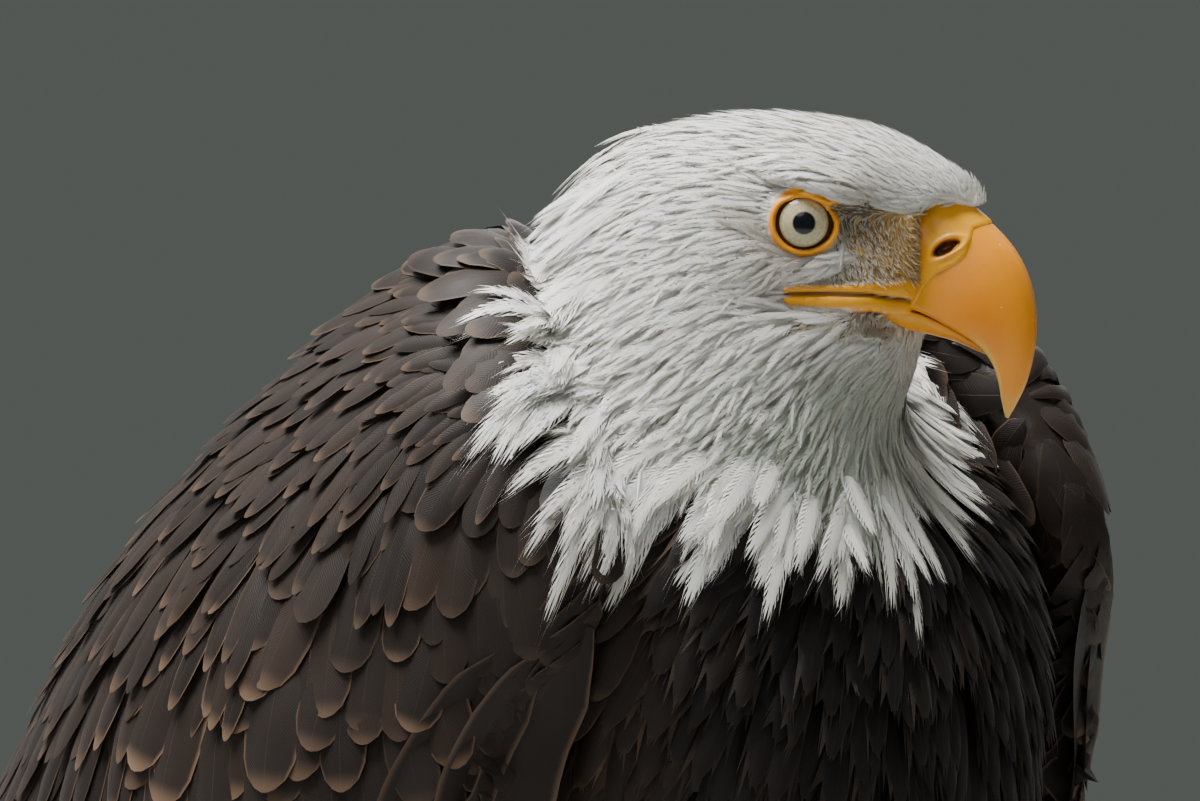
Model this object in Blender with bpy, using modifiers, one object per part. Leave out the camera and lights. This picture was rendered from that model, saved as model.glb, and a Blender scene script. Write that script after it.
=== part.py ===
"""A bald eagle at life size, standing with its neck drawn in and its head turned to its left.

It faces -Y and stands on Z = 0. The origin is on the floor at the middle of its length and width.
Lengths are metres. Points of the body are (ahead, up) pairs measured from the point midway between the
eyes, and points of the beak are (ahead, side, up) in the turned head's own frame.
"""

import math

import bmesh
import bpy
import numpy as np
from mathutils import Matrix, Vector
from mathutils.bvhtree import BVHTree

# Driving dimensions
EYE_HEIGHT = 0.530
HEAD_TURN = math.radians(35)  # how far the head looks to the bird's left
HEAD_POINT = Vector((0.005, -0.0375, EYE_HEIGHT))  # midway between the eyes, before centring
GAP = 0.0004  # clearance left wherever two pieces meet

EYE_RADIUS = 0.0115
EYE_SIDE = 0.0200  # eyeball's centre from the head's midline
EYE_BACK = 0.0034
EYE_FORWARD_TURN = math.radians(17)

TAIL_LENGTH = 0.275
TAIL_FEATHERS = 12
TAIL_PITCH = math.radians(50)
TAIL_ROOT = Vector((0.0, 0.208, EYE_HEIGHT - 0.276))
TAIL_THICKNESS = 0.004
TAIL_ROOT_WIDTH, TAIL_SPREAD, TAIL_ARCH = 0.024, 0.034, 0.016  # half widths, and the fan's rise in the middle
TAIL_SIDES_SHORTER, TAIL_LOBE = 0.10, 0.022  # shares of the length

FOOT_SPREAD = 0.058  # each ankle from the midline
FOOT_Y = 0.084
FOOT_TURN = math.radians(9)  # toes turn outwards
ANKLE_HEIGHT = 0.0165
HEEL = Vector((0.050, 0.103, 0.106))

# Sections of the body from the tail's root to the forehead, each in one plane:
# (ahead, up) of the back, (ahead, up) of the belly, half width, share of the head's turn.
BODY_SECTIONS = (
    (-0.266, -0.262, -0.244, -0.304, 0.026, 0.0),
    (-0.262, -0.236, -0.204, -0.334, 0.047, 0.0),
    (-0.248, -0.186, -0.142, -0.340, 0.068, 0.0),
    (-0.222, -0.136, -0.072, -0.322, 0.083, 0.0),
    (-0.187, -0.090, -0.008, -0.278, 0.091, 0.0),
    (-0.147, -0.046, 0.031, -0.216, 0.092, 0.0),
    (-0.110, -0.016, 0.043, -0.158, 0.092, 0.10),
    (-0.0860, -0.0110, 0.0380, -0.1120, 0.0840, 0.30),
    (-0.0775, 0.0025, 0.0270, -0.0890, 0.0680, 0.60),
    (-0.0660, 0.0160, 0.0205, -0.0750, 0.0540, 0.85),
    (-0.0490, 0.0254, 0.0180, -0.0650, 0.0435, 1.0),
    (-0.0275, 0.0291, 0.0175, -0.0580, 0.0370, 1.0),
    (-0.0060, 0.0288, 0.0180, -0.0520, 0.0315, 1.0),
    (0.0135, 0.0253, 0.0192, -0.0455, 0.0262, 1.0),
    (0.0285, 0.0183, 0.0205, -0.0395, 0.0195, 1.0),
    (0.0380, 0.0112, 0.0225, -0.0335, 0.0130, 1.0),
    (0.0425, 0.0055, 0.0265, -0.0250, 0.0075, 1.0),
)
BODY_RING = 18  # points round a section
BODY_ROUNDNESS = 0.93  # 1 is an ellipse, less is fuller at the corners
TRUNK_RINGS, HEAD_RINGS = 21, 13
NECK_END = 9.6  # the section where the neck stops and the head begins
SEAM_STEP = 0.02  # how far apart along the sections two neighbouring lengths start

# The plane that parts trunk and neck: its height over the eyes at x = y = 0, and its slopes in x and y
COLLAR_PLANE = (-0.046, 0.22, 0.78)

# Soft forms of the head: (ahead, side, up) centre, (ahead, side, up) reach, height outwards.
HEAD_FORMS = {
    "brow": ((0.003, 0.031, 0.0125), (0.016, 0.012, 0.0050), 0.0040),
    "socket": ((0.002, 0.033, 0.0), (0.0125, 0.014, 0.0090), -0.0042),
    "lore": ((0.019, 0.021, -0.005), (0.009, 0.012, 0.0085), -0.0035),
    "mouth": ((-0.001, 0.034, -0.022), (0.0130, 0.016, 0.0080), -0.0045),
    "cheek": ((-0.020, 0.036, -0.012), (0.014, 0.014, 0.0100), 0.0015),
}

# Upper beak from root to hook: (ahead, up) of the ridge, (ahead, up) of the cutting edge, half width.
UPPER_BEAK = (
    (0.0240, 0.0085, 0.0140, -0.0200, 0.0145),
    (0.0335, 0.0066, 0.0225, -0.0225, 0.0130),
    (0.0418, 0.0010, 0.0292, -0.0253, 0.0118),
    (0.0495, -0.0067, 0.0345, -0.0283, 0.0106),
    (0.0543, -0.0158, 0.0388, -0.0309, 0.0092),
    (0.0561, -0.0255, 0.0425, -0.0340, 0.0075),
    (0.0557, -0.0345, 0.0450, -0.0378, 0.0058),
    (0.0537, -0.0430, 0.0465, -0.0430, 0.0041),
    (0.0510, -0.0490, 0.0471, -0.0486, 0.0025),
    (0.0484, -0.0536, 0.0477, -0.0532, 0.0007),
)
CERE_END = 2.0  # the cere is the beak's soft root, up to this section
BEAK_STEP = 0.5  # sections of the table between two rings
BEAK_ARCH = 8  # steps round the ridge of a ring
PALATE_RISE = 0.10  # how far the closing side bows towards the ridge
UPPER_ROUNDNESS, LOWER_ROUNDNESS = 0.9, 0.8
LOWER_BEAK = (
    (0.0060, -0.0212, 0.0060, -0.0300, 0.0215),
    (0.0150, -0.0216, 0.0150, -0.0325, 0.0175),
    (0.0240, -0.0243, 0.0230, -0.0336, 0.0128),
    (0.0305, -0.0270, 0.0300, -0.0340, 0.0106),
    (0.0360, -0.0302, 0.0355, -0.0350, 0.0082),
    (0.0400, -0.0330, 0.0398, -0.0364, 0.0056),
    (0.0428, -0.0358, 0.0430, -0.0374, 0.0026),
)
# The fleshy rim of the mouth from the cere back to its corner: (ahead, up) along the face, half height.
MOUTH_RIM = (
    (0.0272, -0.0212, 0.0036),
    (0.0225, -0.0209, 0.0044),
    (0.0170, -0.0206, 0.0041),
    (0.0100, -0.0203, 0.0034),
    (0.0030, -0.0202, 0.0029),
    (-0.0040, -0.0200, 0.0021),
    (-0.0080, -0.0199, 0.0010),
)
RIM_DEPTH = 0.0021

# The right wing's sections from the wrist to the tip: upper edge, widest point, lower edge, thickness.
# Each point is (x, y, height over the eyes) before centring.
WING_SECTIONS = (
    ((-0.074, -0.026, -0.046), (-0.082, -0.030, -0.054), (-0.080, -0.040, -0.068), 0.012),
    ((-0.055, 0.020, -0.015), (-0.100, -0.012, -0.039), (-0.086, -0.048, -0.098), 0.036),
    ((-0.040, 0.052, -0.018), (-0.117, 0.040, -0.065), (-0.099, -0.029, -0.136), 0.050),
    ((-0.026, 0.092, -0.053), (-0.130, 0.091, -0.099), (-0.105, -0.014, -0.180), 0.060),
    ((-0.022, 0.139, -0.095), (-0.135, 0.138, -0.145), (-0.104, 0.024, -0.228), 0.060),
    ((-0.020, 0.186, -0.152), (-0.130, 0.185, -0.199), (-0.096, 0.077, -0.284), 0.046),
    ((-0.016, 0.230, -0.210), (-0.112, 0.234, -0.256), (-0.082, 0.142, -0.338), 0.026),
    ((-0.012, 0.270, -0.276), (-0.088, 0.274, -0.318), (-0.072, 0.200, -0.388), 0.014),
    ((-0.011, 0.305, -0.338), (-0.066, 0.306, -0.372), (-0.062, 0.255, -0.428), 0.010),
    ((-0.011, 0.336, -0.400), (-0.048, 0.337, -0.424), (-0.050, 0.306, -0.462), 0.007),
    ((-0.020, 0.361, -0.458), (-0.031, 0.362, -0.466), (-0.036, 0.352, -0.478), 0.004),
)
WING_PARTS = {"shoulder": (0.0, 3.4), "secondaries": (3.4, 6.5), "primaries": (6.5, 10.0)}
WING_OUTER_POINTS, WING_INNER_POINTS = 11, 5
WING_STEP = 0.42  # sections of the table between two rings
WING_HOLLOW = -0.2  # deepest the inner side may bow inwards, as a share of the outer bulge

# The right thigh from hip to heel: centre, half width, half depth.
THIGH_SECTIONS = (
    ((-0.052, 0.080, 0.290), 0.032, 0.054),
    ((-0.056, 0.077, 0.240), 0.041, 0.062),
    ((-0.058, 0.078, 0.195), 0.041, 0.058),
    ((-0.057, 0.084, 0.152), 0.035, 0.047),
    ((-0.054, 0.094, 0.112), 0.027, 0.034),
    ((-0.053, 0.099, 0.074), 0.017, 0.022),
)

# Toes of the right foot: heading from straight ahead (outwards positive), length, radius, claw length.
TOES = {
    "hallux": (math.radians(168), 0.036, 0.0088, 0.040),
    "inner": (math.radians(-38), 0.042, 0.0086, 0.036),
    "middle": (math.radians(0), 0.064, 0.0084, 0.032),
    "outer": (math.radians(44), 0.050, 0.0076, 0.027),
}
TOE_STEPS = 5
PAD_SPACING, PAD_RELIEF = 0.021, 0.09  # pads under a toe
KNUCKLE_RISE, KNUCKLE_END = 0.0045, 0.7  # the raised part ends at this share of the toe
SOLE_DROP = 0.0014  # how much of a toe's roundness is pressed flat on the floor
PALM_SHAPE = (0.0142, 0.0155, 0.0162)
SHANK_RADII = (0.0100, 0.0098, 0.0090, 0.0088, 0.0094, 0.0104)  # from heel to ankle
CLAW_SWEEP = math.radians(112)
CLAW_CLEARANCE = 0.0014  # the claws' points stay this far over the floor
CLAW_STEPS = 5
CLAW_SUNK = 0.002  # how deep a claw's root sits in its toe
THIGH_RING = 14

COLOURS = {
    "feathers_white": ((0.80, 0.79, 0.74), 0.8),
    "feathers_brown": ((0.045, 0.030, 0.022), 0.75),
    "horn_yellow": ((0.85, 0.42, 0.06), 0.35),
    "skin_yellow": ((0.80, 0.46, 0.06), 0.5),
    "claw_black": ((0.02, 0.02, 0.022), 0.3),
    "eye": ((0.62, 0.55, 0.34), 0.08),
}


def spline(rows, per_span):
    """Rows of numbers smoothed through every row: Catmull-Rom, per_span steps between two rows."""
    rows = np.array(rows, float)
    return np.array([spline_at(rows, k / per_span) for k in range((len(rows) - 1) * per_span + 1)])


def spline_at(rows, place):
    """The smoothed row at a fractional place along the rows."""
    rows = np.asarray(rows, float)
    i = min(int(place), len(rows) - 2)
    t = place - i
    ahead = rows[i + 2] if i + 2 < len(rows) else 2 * rows[i + 1] - rows[i]
    behind = rows[i - 1] if i > 0 else 2 * rows[0] - rows[1]
    a, b = rows[i], rows[i + 1]
    slope_a, slope_b = (b - behind) / 2, (ahead - a) / 2
    return (
        a * (2 * t**3 - 3 * t**2 + 1)
        + slope_a * (t**3 - 2 * t**2 + t)
        + b * (3 * t**2 - 2 * t**3)
        + slope_b * (t**3 - t**2)
    )


def material(name):
    if name in bpy.data.materials:
        return bpy.data.materials[name]
    made = bpy.data.materials.new(name)
    made.use_nodes = True
    colour, roughness = COLOURS[name]
    shader = made.node_tree.nodes["Principled BSDF"]
    shader.inputs["Base Color"].default_value = (*colour, 1.0)
    shader.inputs["Roughness"].default_value = roughness
    shader.inputs["Metallic"].default_value = 0.0
    return made


def collection(name):
    made = bpy.data.collections.get(name)
    if made is None:
        made = bpy.data.collections.new(name)
        bpy.context.scene.collection.children.link(made)
    return made


def add_mesh(name, mesh, finish):
    piece = bpy.data.objects.new(name, mesh)
    collection("bald_eagle").objects.link(piece)
    mesh.materials.clear()
    mesh.materials.append(material(finish))
    mesh.shade_smooth()
    return piece


def loft(name, rings, finish):
    """A closed solid through rings of equally many points, its two ends capped flat."""
    bm = bmesh.new()
    loops = [[bm.verts.new(point) for point in ring] for ring in rings]
    for first, second in zip(loops, loops[1:]):
        for i in range(len(first)):
            j = (i + 1) % len(first)
            bm.faces.new((first[i], first[j], second[j], second[i]))
    bm.faces.new(loops[0][::-1])
    bm.faces.new(loops[-1])
    bmesh.ops.recalc_face_normals(bm, faces=bm.faces)
    bmesh.ops.triangulate(bm, faces=bm.faces)  # so that a grown copy keeps the same facets
    mesh = bpy.data.meshes.new(name)
    bm.to_mesh(mesh)
    bm.free()
    return add_mesh(name, mesh, finish)


def tube(name, points, radii, finish, sides=2):
    """A tapering round bar along a line of points, with its caps welded on."""
    curve = bpy.data.curves.new(name, "CURVE")
    curve.dimensions = "3D"
    curve.bevel_depth = 1.0
    curve.bevel_resolution = sides
    curve.use_fill_caps = True
    line = curve.splines.new("POLY")
    line.points.add(len(points) - 1)
    for bead, point, radius in zip(line.points, points, radii):
        bead.co = (*point, 1.0)
        bead.radius = radius
    drawn = bpy.data.objects.new(name + "_line", curve)
    bpy.context.scene.collection.objects.link(drawn)
    bpy.context.view_layer.update()
    mesh = bpy.data.meshes.new_from_object(drawn.evaluated_get(bpy.context.evaluated_depsgraph_get()))
    bpy.data.objects.remove(drawn)
    bm = bmesh.new()
    bm.from_mesh(mesh)
    bmesh.ops.remove_doubles(bm, verts=bm.verts, dist=1e-6)
    bmesh.ops.recalc_face_normals(bm, faces=bm.faces)
    bm.to_mesh(mesh)
    bm.free()
    mesh.name = name
    return add_mesh(name, mesh, finish)


def swollen(piece, by=GAP):
    """A hidden copy of a piece, grown by a clearance, to cut its neighbours with."""
    cutter = bpy.data.objects.new(piece.name + "_cutter", piece.data.copy())
    collection("cutters").objects.link(cutter)
    grow = cutter.modifiers.new("clearance", "DISPLACE")
    grow.strength = by
    grow.mid_level = 0.0
    cutter.hide_render = True
    cutter.display_type = "WIRE"
    return cutter


def cut(piece, cutter):
    slot = piece.modifiers.new("cut_" + cutter.name, "BOOLEAN")
    slot.operation = "DIFFERENCE"
    slot.solver = "EXACT"
    slot.object = cutter


def settled(piece):
    """Gives a piece the mesh its modifiers make."""
    bpy.context.view_layer.update()
    graph = bpy.context.evaluated_depsgraph_get()
    mesh = bpy.data.meshes.new_from_object(piece.evaluated_get(graph))
    mesh.name = piece.name
    piece.modifiers.clear()
    piece.data = mesh


def without_crumbs(piece):
    """Settles a piece and keeps only its largest shell, dropping slivers that grazing cuts leave."""
    settled(piece)
    bm = bmesh.new()
    bm.from_mesh(piece.data)
    bmesh.ops.remove_doubles(bm, verts=bm.verts, dist=3e-6)
    bmesh.ops.dissolve_degenerate(bm, edges=bm.edges, dist=3e-6)
    shells, seen = [], set()
    for face in bm.faces:
        if face in seen:
            continue
        shell, waiting = [], [face]
        seen.add(face)
        while waiting:
            here = waiting.pop()
            shell.append(here)
            for edge in here.edges:
                for other in edge.link_faces:
                    if other not in seen:
                        seen.add(other)
                        waiting.append(other)
        shells.append(shell)
    shells.sort(key=len)
    for shell in shells[:-1]:
        bmesh.ops.delete(bm, geom=shell, context="FACES")
    bm.to_mesh(piece.data)
    bm.free()
    piece.data.shade_smooth()


def join(piece, other):
    """Makes two overlapping solids one."""
    slot = piece.modifiers.new("join", "BOOLEAN")
    slot.operation = "UNION"
    slot.solver = "EXACT"
    slot.object = other
    settled(piece)
    bpy.data.objects.remove(other)


def mirrored(piece, name):
    """The same piece on the bird's other side, as an object of its own."""
    mesh = piece.data.copy()
    mesh.name = name
    mesh.transform(Matrix.Scale(-1, 4, Vector((1, 0, 0))))
    mesh.flip_normals()
    twin = bpy.data.objects.new(name, mesh)
    collection("bald_eagle").objects.link(twin)
    return twin


def place(ahead, up, turn):
    """The point this far ahead of and above the head's point, in a plane with a share of the head's turn."""
    yaw = HEAD_TURN * turn
    return Vector(
        (
            HEAD_POINT.x * turn + ahead * math.sin(yaw),
            HEAD_POINT.y - ahead * math.cos(yaw),
            HEAD_POINT.z + up,
        )
    )


def head_axes():
    """Unit vectors of the turned head: ahead, and to its right."""
    ahead = Vector((math.sin(HEAD_TURN), -math.cos(HEAD_TURN), 0))
    return ahead, Vector((-math.cos(HEAD_TURN), -math.sin(HEAD_TURN), 0))


def in_head(ahead, side, up):
    forward, right = head_axes()
    return HEAD_POINT + forward * ahead + right * side + Vector((0, 0, up))


def shaped(point, centre):
    """A head point moved out or in by the brow, socket, lore and cheek on both sides."""
    forward, right = head_axes()
    offset = point - HEAD_POINT
    here = (offset.dot(forward), abs(offset.dot(right)), offset.z)
    push = 0.0
    for middle, reach, height in HEAD_FORMS.values():
        away = sum(((h - m) / r) ** 2 for h, m, r in zip(here, middle, reach))
        push += height * math.exp(-away)
    return point + (point - centre).normalized() * push


def body_ring(at):
    """One planar ring of the body at a fractional section: a superellipse from back to belly."""
    top_ahead, top_up, low_ahead, low_up, half_width, turn = spline_at(BODY_SECTIONS, at)
    back, belly = place(top_ahead, top_up, turn), place(low_ahead, low_up, turn)
    centre, rise = (back + belly) / 2, (back - belly) / 2
    yaw = HEAD_TURN * turn
    side = Vector((-math.cos(yaw), -math.sin(yaw), 0)) * half_width
    ring = []
    for k in range(BODY_RING):
        angle = 2 * math.pi * k / BODY_RING
        c, s = math.cos(angle), math.sin(angle)
        point = (
            centre
            + rise * math.copysign(abs(c) ** BODY_ROUNDNESS, c)
            + side * math.copysign(abs(s) ** BODY_ROUNDNESS, s)
        )
        ring.append(shaped(point, centre) if at > NECK_END else point)
    return ring


def body_part(name, places, finish, side=0):
    """The body at these sections, all of it or only what lies over (1) or under (-1) the collar plane."""
    piece = loft(name, [body_ring(at) for at in places], finish)
    if side:
        height, slope_x, slope_y = COLLAR_PLANE
        normal = Vector((-slope_x, -slope_y, 1)).normalized() * side
        point = Vector((0, 0, EYE_HEIGHT + height)) + normal * GAP / 2
        bm = bmesh.new()
        bm.from_mesh(piece.data)
        whole = bm.verts[:] + bm.edges[:] + bm.faces[:]
        bmesh.ops.bisect_plane(bm, geom=whole, plane_co=point, plane_no=-normal, clear_outer=True)
        bmesh.ops.contextual_create(bm, geom=[edge for edge in bm.edges if edge.is_boundary])
        bmesh.ops.recalc_face_normals(bm, faces=bm.faces)
        bmesh.ops.triangulate(bm, faces=bm.faces)
        bm.to_mesh(piece.data)
        bm.free()
    return piece


def beak_rings(sections, start, end, roundness):
    """Planar rings of a beak half: an arch over the ridge, closed by a shallow arch along the edges."""
    count = max(2, round((end - start) / BEAK_STEP) + 1)
    rings = []
    for at in np.linspace(start, end, count):
        ridge_ahead, ridge_up, edge_ahead, edge_up, half_width = spline_at(sections, at)
        ring = []
        for k in range(BEAK_ARCH + 1):
            angle = math.pi * (k / BEAK_ARCH - 0.5)
            rise = max(0.0, math.cos(angle)) ** roundness
            ring.append(
                in_head(
                    edge_ahead + (ridge_ahead - edge_ahead) * rise,
                    half_width * math.copysign(abs(math.sin(angle)) ** roundness, math.sin(angle)),
                    edge_up + (ridge_up - edge_up) * rise,
                )
            )
        for across in (0.5, 0.0, -0.5):
            rise = PALATE_RISE * (1 - across * across)
            ring.append(
                in_head(
                    edge_ahead + (ridge_ahead - edge_ahead) * rise,
                    half_width * across,
                    edge_up + (ridge_up - edge_up) * rise,
                )
            )
        rings.append(ring)
    return rings


def make_trunk_and_head():
    """The trunk, neck and head with eyes and beak, each hollowed for what sits in it."""
    forehead = len(BODY_SECTIONS) - 1
    lower_places = np.linspace(0, NECK_END, TRUNK_RINGS)
    trunk = body_part("trunk", lower_places, "feathers_brown", -1)
    neck = body_part("neck", lower_places, "feathers_white", 1)
    head_places = np.linspace(NECK_END + SEAM_STEP, forehead, HEAD_RINGS)
    head = body_part("head", head_places, "feathers_white")

    cere = loft("cere", beak_rings(UPPER_BEAK, 0.0, CERE_END, UPPER_ROUNDNESS), "skin_yellow")
    hook = len(UPPER_BEAK) - 1
    horn = beak_rings(UPPER_BEAK, CERE_END + SEAM_STEP * 2.5, hook, UPPER_ROUNDNESS)
    upper = loft("beak_upper", horn, "horn_yellow")
    jaw = [(low_x, low_z, top_x, top_z, wide) for top_x, top_z, low_x, low_z, wide in LOWER_BEAK]
    lower = loft("beak_lower", beak_rings(jaw, 0.0, len(jaw) - 1, LOWER_ROUNDNESS), "horn_yellow")

    face = (head, cere, lower)
    lips = [mouth_rim("lip_right", face, 1), mouth_rim("lip_left", face, -1)]
    eyes = [make_eye("eye_right", 1), make_eye("eye_left", -1)]

    for piece in (cere, lower, *lips, *eyes):
        cut(head, swollen(piece))
    for piece in (cere, upper, *lips):
        cut(lower, swollen(piece))
    without_crumbs(head)
    without_crumbs(lower)
    for lip in lips:
        join(cere, lip)
    return trunk, neck


def on_face(pieces, ahead, up, sign):
    """The outermost point of these pieces at a place seen from the head's side."""
    right = head_axes()[1] * sign
    start = in_head(ahead, sign * 0.08, up)
    reached = []
    for piece in pieces:
        tree = BVHTree.FromPolygons(
            [vertex.co for vertex in piece.data.vertices], [face.vertices for face in piece.data.polygons]
        )
        hit = tree.ray_cast(start, -right)[0]
        if hit is not None:
            reached.append(hit)
    return max(reached, key=lambda point: point.dot(right))


def mouth_rim(name, pieces, sign):
    """A flat lip laid along the face, half sunk in it."""
    right = head_axes()[1]
    rings = []
    for ahead, up, half_height in MOUTH_RIM:
        centre = on_face(pieces, ahead, up, sign)
        ring = []
        for k in range(8):
            angle = 2 * math.pi * k / 8
            rise = Vector((0, 0, half_height * math.sin(angle)))
            ring.append(centre + right * RIM_DEPTH * math.cos(angle) + rise)
        rings.append(ring)
    return loft(name, rings, "skin_yellow")


def make_eye(name, sign):
    centre = in_head(-EYE_BACK, sign * EYE_SIDE, 0)
    bpy.ops.mesh.primitive_uv_sphere_add(segments=12, ring_count=8, radius=EYE_RADIUS, location=centre)
    ball = bpy.context.object
    ball.name = name
    forward, right = head_axes()
    gaze = right * sign * math.cos(EYE_FORWARD_TURN) + forward * math.sin(EYE_FORWARD_TURN)
    ball.rotation_euler = gaze.to_track_quat("Z", "Y").to_euler()
    for holder in list(ball.users_collection):
        holder.objects.unlink(ball)
    collection("bald_eagle").objects.link(ball)
    bpy.context.view_layer.update()
    ball.data.transform(ball.matrix_world)
    ball.matrix_world = Matrix.Identity(4)
    ball.data.materials.append(material("eye"))
    ball.data.shade_smooth()
    return ball


def wing_ring(at):
    """A folded wing's section: half an ellipse through its three points, and a shallower one inside it."""
    lift = np.array([0, 0, EYE_HEIGHT] * 3 + [0])
    values = spline_at([(*u, *m, *low, thick) for u, m, low, thick in WING_SECTIONS], at) + lift
    upper, widest, lower = (Vector(values[k : k + 3]) for k in (0, 3, 6))
    middle, half = (upper + lower) / 2, (upper - lower) / 2
    bulge = widest - middle
    depth = max(WING_HOLLOW, 1 - values[9] / bulge.length)
    outer = [math.pi * k / (WING_OUTER_POINTS - 1) for k in range(WING_OUTER_POINTS)]
    inner = [math.pi * (1 - (k + 0.5) / WING_INNER_POINTS) for k in range(WING_INNER_POINTS)]
    ring = [middle + half * math.cos(a) + bulge * math.sin(a) for a in outer]
    ring += [middle + half * 0.95 * math.cos(a) + bulge * depth * math.sin(a) for a in inner]
    return ring


def make_wings(trunk, neck, tail):
    """Three lengths of each folded wing, fitted round the body and over the tail."""
    blockers = [swollen(piece) for piece in (trunk, neck, tail)]
    wings = []
    for part, (start, end) in WING_PARTS.items():
        start += SEAM_STEP if start else 0
        count = round((end - start) / WING_STEP) + 1
        rings = [wing_ring(at) for at in np.linspace(start, end, count)]
        right = loft(f"wing_{part}_right", rings, "feathers_brown")
        left = mirrored(right, f"wing_{part}_left")
        for wing in (right, left):
            for blocker in blockers:
                cut(wing, blocker)
            without_crumbs(wing)
            wings.append(wing)
    return wings


def make_tail(trunk):
    """Twelve tail feathers laid together as one gently arched fan with lobed tips."""
    down = Vector((0, math.cos(TAIL_PITCH), -math.sin(TAIL_PITCH)))
    up = Vector((0, math.sin(TAIL_PITCH), math.cos(TAIL_PITCH)))
    across_steps, along_steps = 2 * TAIL_FEATHERS, 2
    bm = bmesh.new()
    grid = []
    for j in range(across_steps + 1):
        across = 2 * j / across_steps - 1
        lobe = abs(math.sin(math.pi * TAIL_FEATHERS * (across + 1) / 2))
        length = TAIL_LENGTH * (1 - TAIL_SIDES_SHORTER * across**2 - TAIL_LOBE * (1 - lobe))
        column = []
        for i in range(along_steps + 1):
            along = i / along_steps
            width = TAIL_ROOT_WIDTH + TAIL_SPREAD * along**0.8
            arch = TAIL_ARCH * (1 - across**2)
            spot = TAIL_ROOT + down * length * along + up * arch + Vector((width * across, 0, 0))
            column.append(bm.verts.new(spot))
        grid.append(column)
    for first, second in zip(grid, grid[1:]):
        for i in range(along_steps):
            bm.faces.new((first[i], second[i], second[i + 1], first[i + 1]))
    mesh = bpy.data.meshes.new("tail")
    bm.to_mesh(mesh)
    bm.free()
    sheet = add_mesh("tail", mesh, "feathers_white")
    thick = sheet.modifiers.new("thickness", "SOLIDIFY")
    thick.thickness = TAIL_THICKNESS
    thick.offset = 0.0
    settled(sheet)
    cut(sheet, swollen(trunk))
    return sheet


def thigh_rings():
    rows = spline([(*centre, wide, deep) for centre, wide, deep in THIGH_SECTIONS], 2)
    rings = []
    for x, y, z, wide, deep in rows:
        ring = []
        for k in range(THIGH_RING):
            angle = 2 * math.pi * k / THIGH_RING
            ring.append(Vector((x + wide * math.cos(angle), y + deep * math.sin(angle), z)))
        rings.append(ring)
    return rings


def toe_loft(name, points, radii, out):
    """A round toe along its points with its underside pressed flat on the floor."""
    side = Vector((-out.y, out.x, 0))
    rings = []
    for point, radius in zip(points, radii):
        ring = []
        for k in range(8):
            angle = 2 * math.pi * (k + 0.5) / 8
            spot = point + side * radius * math.cos(angle) + Vector((0, 0, radius * math.sin(angle)))
            spot.z = max(0.0, spot.z)
            ring.append(spot)
        rings.append(ring)
    return loft(name, rings, "skin_yellow")


def make_legs(trunk, wings):
    trunk_cutter = swollen(trunk)
    wing_cutters = {}
    for wing in wings:
        wing_cutters.setdefault(wing.name.rsplit("_", 1)[1], []).append(swollen(wing))
    for side, sign in (("right", -1), ("left", 1)):
        rings = [[Vector((-sign * p.x, p.y, p.z)) for p in ring] for ring in thigh_rings()]
        thigh = loft("thigh_" + side, rings, "feathers_brown")
        cut(thigh, trunk_cutter)
        for cutter in wing_cutters[side]:
            cut(thigh, cutter)
        without_crumbs(thigh)
        make_foot(side, sign, thigh)


def claw_points(start, out, length):
    """A claw's middle line: an arc that rises over the toe's end and comes down to just above the floor."""
    radius = length / CLAW_SWEEP
    drop = start.z - CLAW_CLEARANCE
    heading = CLAW_SWEEP / 2 - math.asin(drop / (2 * radius * math.sin(CLAW_SWEEP / 2)))
    points = []
    for k in range(CLAW_STEPS + 1):
        angle = heading - CLAW_SWEEP * k / CLAW_STEPS
        rise = radius * (math.cos(angle) - math.cos(heading))
        points.append(start + out * radius * (math.sin(heading) - math.sin(angle)) + Vector((0, 0, rise)))
    return points


def make_foot(side, sign, thigh):
    ankle = Vector((sign * FOOT_SPREAD, FOOT_Y, ANKLE_HEIGHT))
    heel = Vector((sign * HEEL.x, HEEL.y, HEEL.z))
    last = len(SHANK_RADII) - 1
    shank_points = [heel.lerp(ankle, k / last) for k in range(last + 1)]
    shank = tube("tarsus_" + side, shank_points, SHANK_RADII, "skin_yellow", sides=3)
    cut(thigh, swollen(shank))

    bpy.ops.mesh.primitive_uv_sphere_add(segments=10, ring_count=6, radius=1.0)
    palm = bpy.context.object
    palm.name = "foot_" + side
    for holder in list(palm.users_collection):
        holder.objects.unlink(palm)
    collection("bald_eagle").objects.link(palm)
    palm.data.transform(Matrix.Translation(ankle) @ Matrix.Diagonal((*PALM_SHAPE, 1)))
    palm.data.materials.append(material("skin_yellow"))
    palm.data.shade_smooth()

    claws = []
    for toe, (heading, length, radius, claw_length) in TOES.items():
        yaw = sign * (heading + FOOT_TURN)
        out = Vector((math.sin(yaw), -math.cos(yaw), 0))
        points, radii = [], []
        for k in range(TOE_STEPS + 1):
            along = k / TOE_STEPS
            pads = 1 + PAD_RELIEF * math.cos(2 * math.pi * along * length / PAD_SPACING)
            taper = 1.06 - 0.26 * along if k < TOE_STEPS else 0.64
            radii.append(radius * taper * pads)
            knuckle = KNUCKLE_RISE * (1 - along) * math.sin(math.pi * min(1, along / KNUCKLE_END)) ** 2
            foot_point = Vector((ankle.x, ankle.y, radii[-1] - SOLE_DROP + knuckle))
            points.append(foot_point + out * (CLAW_SUNK + length * along))
        points[-1].z = points[-2].z
        join(palm, toe_loft(toe, points, radii, out))
        line = claw_points(points[-1] - out * CLAW_SUNK, out, claw_length)
        thick = [radius * 0.60 * (1 - k / CLAW_STEPS) ** 0.7 + 0.0004 for k in range(CLAW_STEPS + 1)]
        claws.append(tube(f"claw_{toe}_{side}", line, thick, "claw_black", sides=1))
    cut(palm, swollen(shank))
    for claw in claws:
        cut(palm, swollen(claw))


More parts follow.
